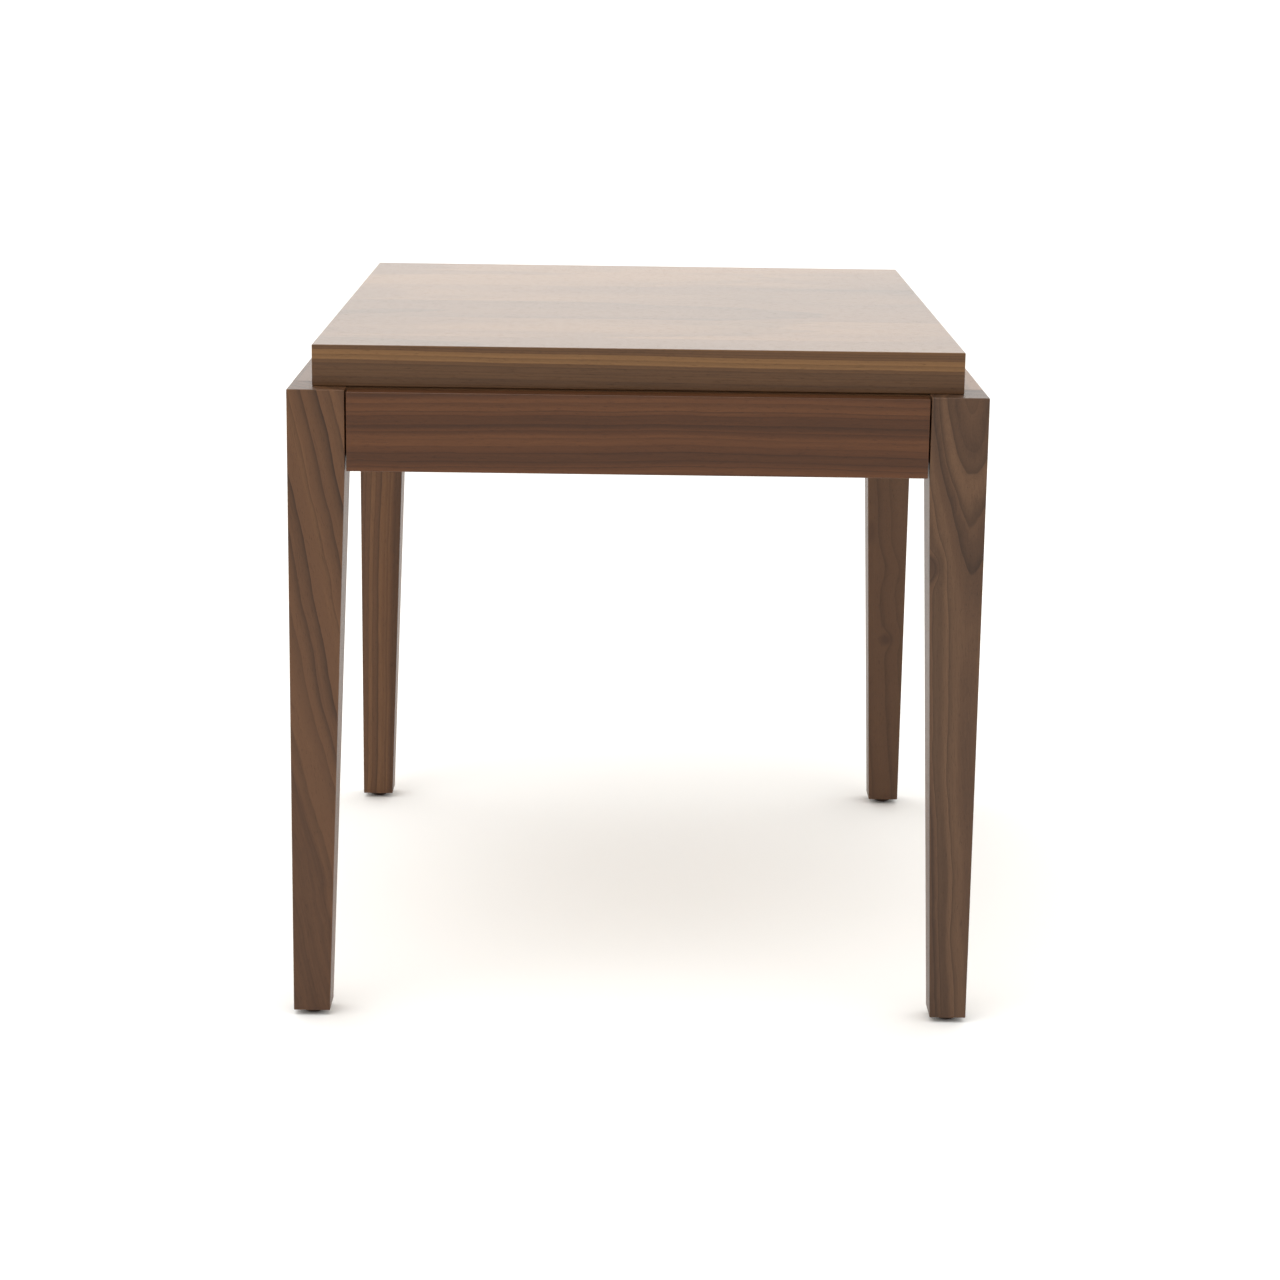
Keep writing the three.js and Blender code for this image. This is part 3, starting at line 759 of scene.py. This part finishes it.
def streaked_metal(name, base, scale, roughness):
    """Plated steel. scale stretches the streaks: a small number is the way that they run."""
    material = plain_material(name, base, roughness)
    tree = material.node_tree
    tree.nodes["Principled BSDF"].inputs["Metallic"].default_value = 1.0
    place = add_node(tree, "ShaderNodeTexCoord").outputs["Object"]
    streaks = noise(tree, 3.0, 0.6, Vector=stretched(tree, place, scale))
    cloudy = noise(tree, 2.0, Vector=stretched(tree, place, CLOUDS))
    worn = group_node(tree, EDGE_WEAR, {"Vector": place, "Amount": 0.6})["Wear"]
    tint = number(tree, "MULTIPLY_ADD", streaks, 0.16, number(tree, "MULTIPLY", cloudy, 0.12))
    shade = (*(v * 0.72 for v in base), 1.0)
    plated = blend_colour(tree, spread(tree, tint, 0.08, 0.2), shade, (*base, 1.0))
    rough = number(tree, "MULTIPLY_ADD", streaks, 0.22, roughness - 0.1)
    finish_shader(tree, blend_colour(tree, worn, plated, RUBBED_METAL), rough, streaks, 0.15)
    return material


ZINC = streaked_metal("zinc_plate", (0.62, 0.64, 0.66), (1600, 14, 1600), 0.32)
SCREW_STEEL = streaked_metal("screw_steel", (0.6, 0.58, 0.53), (900, 900, 900), 0.34)
BALL_STEEL = streaked_metal("ball_steel", (0.7, 0.7, 0.7), (400, 400, 400), 0.2)
print("three metals")

# %% Plastic and rubber
MOULD_PATCHES = (120, 120, 120)


def moulded(name, code, roughness, grain):
    """Moulded plastic or rubber with a fine skin."""
    base = colour(code)
    material = plain_material(name, base[:3], roughness)
    tree = material.node_tree
    place = add_node(tree, "ShaderNodeTexCoord").outputs["Object"]
    skin = noise(tree, 2.0, Vector=stretched(tree, place, (grain, grain, grain)))
    patches = noise(tree, 2.0, Vector=stretched(tree, place, MOULD_PATCHES))
    paler = (*(min(1.0, v * 1.35 + 0.004) for v in base[:3]), 1.0)
    mottled = blend_colour(tree, spread(tree, patches, 0.4, 0.7), base, paler)
    rough = number(tree, "MULTIPLY_ADD", patches, 0.2, roughness - 0.1)
    finish_shader(tree, mottled, rough, skin, 0.2)
    return material


NYLON = moulded("brown_nylon", "3a271b", 0.45, 2600)
RUBBER = moulded("clear_bumper", "c9c4ba", 0.42, 900)
CAGE_PLASTIC = moulded("cage_plastic", "d9d6cf", 0.5, 1800)
print("two plastics and a rubber")

# %% [markdown]
# ## Boards with softened edges
# No maker leaves a board's edge sharp: it is sanded to a small round, which catches a thin line of
# light. The CAD boards already have their tenons, mortises, dovetails and screw holes, so each is
# copied, its loose triangles are merged into whole faces, and its outer edges are rounded. An edge
# inside a joint stays sharp, as it does on the bench. An outer edge is one between two faces that
# the whole board lies behind.

# %% Merging and rounding
MERGE = 0.01 * MM
FLAT = math.radians(0.5)
SHARP = math.radians(30)
BEHIND = 0.05 * MM  # how far a point may stand out from an outer face


def merged_copy(node):
    """A copy of a CAD node with its triangles merged into whole faces."""
    board = bmesh.new()
    board.from_mesh(frame["nodes"][node].data)
    bmesh.ops.remove_doubles(board, verts=board.verts, dist=MERGE)
    bmesh.ops.dissolve_limit(board, angle_limit=FLAT, verts=board.verts, edges=board.edges)
    board.normal_update()
    return board


def outer_faces(board):
    """The faces that the whole board lies behind."""
    points = [v.co.copy() for v in board.verts]
    found = set()
    for face in board.faces:
        height = face.normal.dot(face.verts[0].co)
        if all(face.normal.dot(p) - height < BEHIND for p in points):
            found.add(face)
    return found


def long_edges(board, longest, only_outer):
    """The sharp outward edges that are longer than this."""
    outer = outer_faces(board) if only_outer else set(board.faces)
    return [
        e for e in board.edges
        if len(e.link_faces) == 2 and e.calc_length() > longest and e.is_convex
        and e.calc_face_angle() > SHARP and all(f in outer for f in e.link_faces)
    ]


def round_edges(board, edges, radius, segments=3):
    """Rounds the edges and marks the new faces in the attribute `edge`."""
    mark = board.faces.layers.float.new("edge")
    made = bmesh.ops.bevel(
        board, geom=edges, offset=radius, offset_type="OFFSET", segments=segments,
        profile=0.5, affect="EDGES", clamp_overlap=True, material=-1,
    )
    for face in made["faces"]:
        face[mark] = 1.0
        face.smooth = True
    return len(made["faces"])


print("edges within", round(math.degrees(SHARP)), "degrees of flat stay as they are")

# %% Finished boards
EDGE_ROUND = 0.8 * MM
VENEER_ROUND = 0.3 * MM
SHEET_ROUND = 0.45 * MM
SHORTEST = 9 * MM  # shorter edges, as those of a screw hole, stay sharp


def mesh_of(shape, name, *materials):
    """Turns a bmesh into a mesh."""
    mesh = bpy.data.meshes.new(name)
    shape.to_mesh(mesh)
    shape.free()
    for material in materials:
        mesh.materials.append(material)
    return mesh


def finished(node, name, body, material, radius=EDGE_ROUND, only_outer=True):
    """Makes the finished piece that stands for a CAD node."""
    board = merged_copy(node)
    rounded = round_edges(board, long_edges(board, SHORTEST, only_outer), radius)
    piece = in_scene(name, mesh_of(board, name, material))
    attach(piece, body)
    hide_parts(node)
    print(name, "has", rounded, "rounded faces of", len(piece.data.polygons))


# %% Walnut boards
for node, material in WALNUT.items():
    body = "drawer" if node == "drawer_front" else "frame"
    finished(node, f"walnut_{node}", body, material)

# %% Pale boards
PALE_PAIRS = {
    "slide_packer": ("frame", "y"),
    "corner_block": ("frame", "x"),
    "drawer_side": ("drawer", "y"),
}
for side in ("left", "right"):
    for board, (body, along) in PALE_PAIRS.items():
        node = f"{board}_{side}"
        finished(node, f"planed_{node}", body, PALE_WOOD[along])
for node in ("drawer_box_front", "drawer_back"):
    finished(node, f"planed_{node}", "drawer", PALE_WOOD["x"])
finished("drawer_bottom", "plywood_drawer_bottom", "drawer", PLYWOOD, VENEER_ROUND)

# %% [markdown]
# ## Slides
# A full-extension slide has three members of rolled steel sheet. The outer one is screwed to the
# frame and the inner one to the drawer, and the middle one travels half as far as the drawer does.
# Rolled sheet has a soft edge everywhere, inside the channel too, so every long edge is rounded.

# %% Slide members
MEMBERS = {"outer": "frame", "middle": "middle_{side}", "inner": "drawer"}
for side in ("left", "right"):
    for member, rides_on in MEMBERS.items():
        finished(
            f"slide_{member}_{side}", f"rolled_slide_{member}_{side}", rides_on.format(side=side),
            ZINC, SHEET_ROUND, only_outer=False,
        )

# %% [markdown]
# ## Turned parts
# A glide is a moulded disc with a rounded rim and a nail, and a bumper is a clear dome. Both are
# turned shapes, so a profile of radius against height is spun round an axis. `turned` closes the
# profile at both ends on the axis, which leaves no hole at a pole.


# %% Turned shapes
def turned(profile, segments):
    """A closed shape spun round Z from points of (radius, height) that start and end on the axis."""
    shape = bmesh.new()
    last = len(profile) - 1
    rings = []
    for k, (radius, height) in enumerate(profile):
        count = 1 if k in (0, last) else segments
        steps = [2 * math.pi * n / segments for n in range(count)]
        circle = [(radius * math.cos(t), radius * math.sin(t), height) for t in steps]
        rings.append([shape.verts.new(point) for point in circle])
    for low, high in zip(rings, rings[1:]):
        for n in range(segments):
            m = (n + 1) % segments
            corners = [low[n % len(low)], low[m % len(low)], high[m % len(high)], high[n % len(high)]]
            shape.faces.new(list(dict.fromkeys(corners)))
    bmesh.ops.recalc_face_normals(shape, faces=shape.faces)
    return shape


def arc(centre, radius, start, end, steps):
    """Points of a circle's arc, by angle in degrees."""
    angles = [math.radians(start + (end - start) * k / steps) for k in range(steps + 1)]
    return [(centre[0] + radius * math.cos(a), centre[1] + radius * math.sin(a)) for a in angles]


def smooth_piece(shape, name, material, place, turn=Matrix.Identity(4)):
    """Turns a bmesh into a smooth piece at a place, with sharp edges kept."""
    bmesh.ops.transform(shape, matrix=turn, verts=shape.verts)
    bmesh.ops.translate(shape, vec=place, verts=shape.verts)
    for face in shape.faces:
        face.smooth = True
    for edge in shape.edges:
        edge.smooth = edge.calc_face_angle(0.0) < SHARP
    return in_scene(name, mesh_of(shape, name, material))


print("a turned shape is ready to be spun")

# %% Glides
RIM = 3.2 * MM  # rounding of a glide's rim
NAIL = 1.2 * MM  # radius
NAIL_POINT = 2 * MM
SEAT = 0.3 * MM  # bevel of the rim against the foot
CROWN = 0.55  # flat part of the underside, as a share of the radius
for end in ("front", "back"):
    for side in ("left", "right"):
        low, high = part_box(f"glide_{end}_{side}")
        radius = (high.x - low.x) / 2
        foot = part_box(f"leg_{end}_{side}")[0].z
        underside = [(0, 0), (radius * CROWN, 0), *arc((radius - RIM, RIM), RIM, -75, 0, 6)]
        seat = [(radius, foot - SEAT), (radius - SEAT, foot)]
        nail = [(NAIL, foot), (NAIL, high.z - NAIL_POINT), (0, high.z)]
        shape = turned([*underside, *seat, *nail], 40)
        under_leg = Vector(((low.x + high.x) / 2, (low.y + high.y) / 2, 0))
        glide = smooth_piece(shape, f"moulded_glide_{end}_{side}", NYLON, under_leg)
        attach(glide, "frame")
        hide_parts(f"glide_{end}_{side}")
print("four glides of radius", round(radius / MM, 1), "mm")

# %% Bumpers
BACKWARDS = Matrix.Rotation(math.radians(-90), 4, "X")
for side in ("left", "right"):
    low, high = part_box(f"bumper_{side}")
    radius, thick = (high.x - low.x) / 2, high.y - low.y
    steps = [math.radians(9 * k) for k in range(9)]
    dome = [(radius * math.cos(t), thick * math.sin(t)) for t in steps]
    on_front = Vector(((low.x + high.x) / 2, low.y, (low.z + high.z) / 2))
    shape = turned([(0, 0), *dome, (0, thick)], 32)
    bumper = smooth_piece(shape, f"soft_bumper_{side}", RUBBER, on_front, BACKWARDS)
    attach(bumper, "drawer")
    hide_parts(f"bumper_{side}")
print("two bumpers,", round(thick / MM, 2), "mm thick")

# %% [markdown]
# ## Screws
# The table holds 26 countersunk screws with a cross recess. One head and one threaded shaft are
# modelled, each a single unit across or long. A Geometry Nodes tree puts them at a cloud of points:
# each point carries the way its screw points, its head's radius and its length. The tree also gives
# each screw a turn of its own, with a fixed seed, because no fitter lines up the crosses.

# %% One screw head
HEAD_EDGE = 0.08  # straight rim of the head, as a share of its radius
SHAFT = 0.5  # the shaft's radius, as a share of the head's
HEAD_SIDES = 28
CROSS = {"reach": 0.52, "half": 0.13, "deep": 0.42, "taper": 0.7}


def cross_outline(reach, half):
    """The corners of a cross, from the length of its arms and half their width."""
    corner = [(reach, -half), (reach, half), (half, half)]
    quarter = [(math.cos(t), math.sin(t)) for t in (k * math.pi / 2 for k in range(4))]
    return [(c * x - n * y, n * x + c * y) for c, n in quarter for x, y in corner]


def walls(shape, low, high):
    """A ring of faces between two loops of points."""
    for k in range(len(low)):
        m = (k + 1) % len(low)
        shape.faces.new((low[k], low[m], high[m], high[k]))


def screw_head():
    """A head with its flat face at zero and its cone upwards: the cross is cut into the flat face."""
    shape = bmesh.new()
    steps = [2 * math.pi * k / HEAD_SIDES for k in range(HEAD_SIDES)]
    stages = [(1.0, 0.0), (1.0, HEAD_EDGE), (SHAFT, HEAD_EDGE + 1 - SHAFT)]
    loops = [[shape.verts.new((r * math.cos(t), r * math.sin(t), z)) for t in steps] for r, z in stages]
    for low, high in zip(loops, loops[1:]):
        walls(shape, low, high)
    shape.faces.new(loops[-1])
    rim = cross_outline(CROSS["reach"], CROSS["half"])
    taper, deep = CROSS["taper"], CROSS["deep"]
    mouth = [shape.verts.new((x, y, 0)) for x, y in rim]
    bottom = [shape.verts.new((x * taper, y * taper, deep)) for x, y in rim]
    walls(shape, mouth, bottom)
    shape.faces.new(bottom)
    outline = []
    for ring in (loops[0], mouth):
        outline += [shape.edges.get(pair) for pair in zip(ring, ring[1:] + ring[:1])]
    bmesh.ops.triangle_fill(shape, edges=outline, use_beauty=True)
    bmesh.ops.recalc_face_normals(shape, faces=shape.faces)
    return bpy.data.objects.new("one_screw_head", mesh_of(shape, "one_screw_head"))


ONE_HEAD = screw_head()
print("a head has", len(ONE_HEAD.data.polygons), "faces")

# %% One screw shaft
THREADS, SHAFT_SIDES = 9, 12
THREAD_FROM, THREAD_LONG = 0.3, 0.6  # as shares of the shaft's length
GROOVE, NECK, TIP = 0.75, 0.8, 0.6  # radii, as shares of the shaft's


def screw_shaft():
    """A threaded shaft one unit long and one head radius wide. Its ridges are plain rings."""
    ridges = []
    for k in range(THREADS):
        low = THREAD_FROM + THREAD_LONG * k / THREADS
        ridges += [(SHAFT * GROOVE, low), (SHAFT, low + 0.25 / THREADS)]
    profile = [(0, 0.02), (SHAFT * NECK, 0.02), *ridges, (SHAFT * TIP, 0.93), (0, 1.0)]
    shape = turned(profile, SHAFT_SIDES)
    return bpy.data.objects.new("one_screw_shaft", mesh_of(shape, "one_screw_shaft"))


ONE_SHAFT = screw_shaft()
print("a shaft has", len(ONE_SHAFT.data.polygons), "faces")


# %% Tools for Geometry Nodes
def geometry_tree(name, inputs):
    """An empty Geometry Nodes tree with a mesh in, named inputs and a mesh out."""
    tree = bpy.data.node_groups.new(name, "GeometryNodeTree")
    for label, kind in {"Geometry": "Geometry", **inputs}.items():
        tree.interface.new_socket(label, in_out="INPUT", socket_type=f"NodeSocket{kind}")
    tree.interface.new_socket("Geometry", in_out="OUTPUT", socket_type="NodeSocketGeometry")
    start = tree.nodes.new("NodeGroupInput").outputs
    end = tree.nodes.new("NodeGroupOutput").inputs
    return tree, start, end


def named(tree, attribute, kind):
    """Reads an attribute that the points carry."""
    node = add_node(tree, "GeometryNodeInputNamedAttribute", {"Name": attribute}, data_type=kind)
    return node.outputs[0]


def instances(tree, points, shape, **how):
    """Puts a shape at every point."""
    inputs = {"Points": points, "Instance": shape, **how}
    return add_node(tree, "GeometryNodeInstanceOnPoints", inputs).outputs[0]


def realized(tree, geometry):
    """Turns instances into plain faces."""
    return add_node(tree, "GeometryNodeRealizeInstances", {"Geometry": geometry}).outputs[0]


def covered(tree, geometry, material):
    """Sets the material of a shape."""
    inputs = {"Geometry": geometry, "Material": material}
    return add_node(tree, "GeometryNodeSetMaterial", inputs).outputs[0]


print("tools for Geometry Nodes are ready")


# %% Screw tree
def make_screw_tree():
    tree, start, end = geometry_tree(
        "screws_at_points",
        {"Head": "Object", "Shaft": "Object", "Material": "Material", "Seed": "Int"},
    )
    points = add_node(tree, "GeometryNodeMeshToPoints", {"Mesh": start["Geometry"]}).outputs[0]
    way = named(tree, "aim", "FLOAT_VECTOR")
    aim = add_node(tree, "FunctionNodeAlignRotationToVector", {"Vector": way}, axis="Z").outputs[0]
    chance = add_node(
        tree, "FunctionNodeRandomValue", {3: 2 * math.pi, "Seed": start["Seed"]}, data_type="FLOAT"
    ).outputs[1]
    own = add_node(
        tree, "FunctionNodeAxisAngleToRotation", {"Axis": (0, 0, 1), "Angle": chance}
    ).outputs[0]
    spun = add_node(
        tree, "FunctionNodeRotateRotation", {"Rotation": aim, "Rotate By": own},
        rotation_space="LOCAL",
    ).outputs[0]
    wide = named(tree, "wide", "FLOAT")
    joined = tree.nodes.new("GeometryNodeJoinGeometry")
    for part, height in (("Head", wide), ("Shaft", named(tree, "long", "FLOAT"))):
        shape = add_node(tree, "GeometryNodeObjectInfo", {"Object": start[part]}).outputs["Geometry"]
        size = add_node(tree, "ShaderNodeCombineXYZ", {"X": wide, "Y": wide, "Z": height}).outputs[0]
        tree.links.new(instances(tree, points, shape, Rotation=spun, Scale=size), joined.inputs[0])
    screws = realized(tree, joined.outputs[0])
    feed(tree, end["Geometry"], covered(tree, screws, start["Material"]))
    return tree


SCREW_TREE = make_screw_tree()
print("tree", SCREW_TREE.name, "with", len(SCREW_TREE.nodes), "nodes")


# %% Growing a mesh from a tree
def grown(name, seed_mesh, tree, values):
    """Runs a tree on a mesh, with its named inputs set, and keeps the result as a plain mesh."""
    holder = in_scene(name + "_holder", seed_mesh)
    modifier = holder.modifiers.new("grow", "NODES")
    modifier.node_group = tree
    for socket in tree.interface.items_tree:
        if socket.in_out == "INPUT" and socket.name in values:
            modifier[socket.identifier] = values[socket.name]
    seen = holder.evaluated_get(bpy.context.evaluated_depsgraph_get())
    mesh = bpy.data.meshes.new_from_object(seen)
    mesh.name = name
    bpy.data.objects.remove(holder)
    return in_scene(name, mesh)


print("a tree can be grown into a mesh")


# %% Where the screws go
def screw_points(name, nodes):
    """A point for each screw: where its head is, the way it points, and its size. A slide's screw
    points in from the side, the drawer front's forwards, and the others outwards or up."""
    places, aims, widths, lengths = [], [], [], []
    for node in nodes:
        low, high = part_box(node)
        middle, size = (low + high) / 2, high - low
        axis = max(range(3), key=lambda k: size[k])
        outward = math.copysign(1.0, middle.x)
        kind = node.rsplit("_", 2)[0]
        plain_way = outward if axis == 0 else 1.0
        way = {"runner_screw": -outward, "front_screw": -1.0}.get(kind, plain_way)
        middle[axis] = low[axis] if way > 0 else high[axis]
        places.append(middle)
        aims.extend(way if k == axis else 0.0 for k in range(3))
        widths.append(min(size) / 2)
        lengths.append(size[axis])
    mesh = bpy.data.meshes.new(name)
    mesh.from_pydata(places, [], [])
    mesh.attributes.new("aim", "FLOAT_VECTOR", "POINT").data.foreach_set("vector", aims)
    mesh.attributes.new("wide", "FLOAT", "POINT").data.foreach_set("value", widths)
    mesh.attributes.new("long", "FLOAT", "POINT").data.foreach_set("value", lengths)
    return mesh


SCREWS = {"frame": [], "drawer": []}
for node in sorted(frame["nodes"]):
    if "_screw_" in node:
        in_drawer = node.startswith(("runner", "front_screw"))
        SCREWS["drawer" if in_drawer else "frame"].append(node)
print({body: len(nodes) for body, nodes in SCREWS.items()}, "screws")

# %% Screws of the frame and of the drawer
SCREW_SEED = 7
for body, nodes in SCREWS.items():
    screws = grown(f"screws_of_{body}", screw_points(f"{body}_screw_points", nodes), SCREW_TREE, {
        "Head": ONE_HEAD, "Shaft": ONE_SHAFT, "Material": SCREW_STEEL, "Seed": SCREW_SEED,
    })
    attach(screws, body)
    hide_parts(*nodes)
    print("screws of the", body, "have", len(screws.data.polygons), "faces")

# %% [markdown]
# ## Balls in the slides
# Between the members of a slide run rows of steel balls, held at an even pitch by a thin cage. The
# outer rows stay at the back of the middle member, and the inner rows at its front, so that both
# are still between two members when the drawer is fully open. A second tree makes them: it walks
# along a line for each row, puts a ball at every pitch, and sweeps a thin strip for the cage.


# %% Ball tree
def make_ball_tree():
    tree, start, end = geometry_tree("balls_along_lines", {
        "Ball Radius": "Float", "Pitch": "Float", "Strip Width": "Float",
        "Strip Thickness": "Float", "Ball Material": "Material", "Strip Material": "Material",
    })
    line = add_node(tree, "GeometryNodeMeshToCurve", {"Mesh": start["Geometry"]}).outputs[0]
    spots = add_node(
        tree, "GeometryNodeCurveToPoints", {"Curve": line, "Length": start["Pitch"]}, mode="LENGTH"
    ).outputs["Points"]
    ball = add_node(tree, "GeometryNodeMeshUVSphere", {
        "Segments": 8, "Rings": 6, "Radius": start["Ball Radius"],
    }).outputs["Mesh"]
    balls = realized(tree, instances(tree, spots, ball))
    balls = add_node(tree, "GeometryNodeSetShadeSmooth", {"Geometry": balls}).outputs[0]
    upright = add_node(tree, "GeometryNodeSetCurveNormal", {"Curve": line}, mode="Z_UP").outputs[0]
    section = add_node(tree, "GeometryNodeCurvePrimitiveQuadrilateral", {
        "Width": start["Strip Width"], "Height": start["Strip Thickness"],
    }).outputs[0]
    strip = add_node(tree, "GeometryNodeCurveToMesh", {
        "Curve": upright, "Profile Curve": section, "Fill Caps": True,
    }).outputs[0]
    joined = tree.nodes.new("GeometryNodeJoinGeometry")
    tree.links.new(covered(tree, balls, start["Ball Material"]), joined.inputs[0])
    tree.links.new(covered(tree, strip, start["Strip Material"]), joined.inputs[0])
    feed(tree, end["Geometry"], joined.outputs[0])
    return tree


BALL_TREE = make_ball_tree()
print("tree", BALL_TREE.name, "with", len(BALL_TREE.nodes), "nodes")

# %% Rows of balls
BALL = 1.35 * MM
PITCH = 9 * MM
STRIP_WIDTH, STRIP_THICKNESS = 3.2 * MM, 0.5 * MM
SHEET = 1.2 * MM  # steel of the outer member
FLANGE = 1.0 * MM  # steel of the middle member
END_ROOM = 6 * MM
TRAVEL = {joint["name"]: joint["range_m"][1] for joint in frame["joints"]}


def ball_rows(side, outward):
    """The front and back end of each row: two rows outside the middle member, two inside it."""
    boxes = {member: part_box(f"slide_{member}_{side}") for member in MEMBERS}
    (outer_low, outer_high), (low, high), (_, inner_high) = boxes.values()
    faces = {member: (box[0].x, box[1].x)[::outward] for member, box in boxes.items()}
    travel = TRAVEL[f"middle_slide_{side}"]
    centre = (low.z + high.z) / 2
    outer_x = (faces["middle"][1] + faces["outer"][0] + outward * SHEET) / 2
    inner_x = (faces["inner"][1] + faces["middle"][0]) / 2
    outer_rise = (outer_high.z - SHEET + high.z) / 2 - centre
    inner_rise = (high.z - FLANGE + inner_high.z) / 2 - centre
    outer_span = (outer_low.y + travel + END_ROOM, high.y - END_ROOM)
    inner_span = (low.y + END_ROOM, inner_high.y - travel - END_ROOM)
    ends = []
    for up in (-1, 1):
        ends += [(outer_x, y, centre + up * outer_rise) for y in outer_span]
        ends += [(inner_x, y, centre + up * inner_rise) for y in inner_span]
    return ends


for side, outward in (("left", -1), ("right", 1)):
    ends = ball_rows(side, outward)
    lines = bpy.data.meshes.new(f"ball_rows_{side}")
    lines.from_pydata(ends, [(k, k + 1) for k in range(0, len(ends), 2)], [])
    cage = grown(f"ball_cages_{side}", lines, BALL_TREE, {
        "Ball Radius": BALL, "Pitch": PITCH, "Strip Width": STRIP_WIDTH,
        "Strip Thickness": STRIP_THICKNESS, "Ball Material": BALL_STEEL,
        "Strip Material": CAGE_PLASTIC,
    })
    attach(cage, f"middle_{side}")
    print("cages on the", side, "have", len(cage.data.polygons), "faces; rows at",
          [(round(x / MM, 1), round(z / MM, 1)) for x, _, z in ends[::2]])
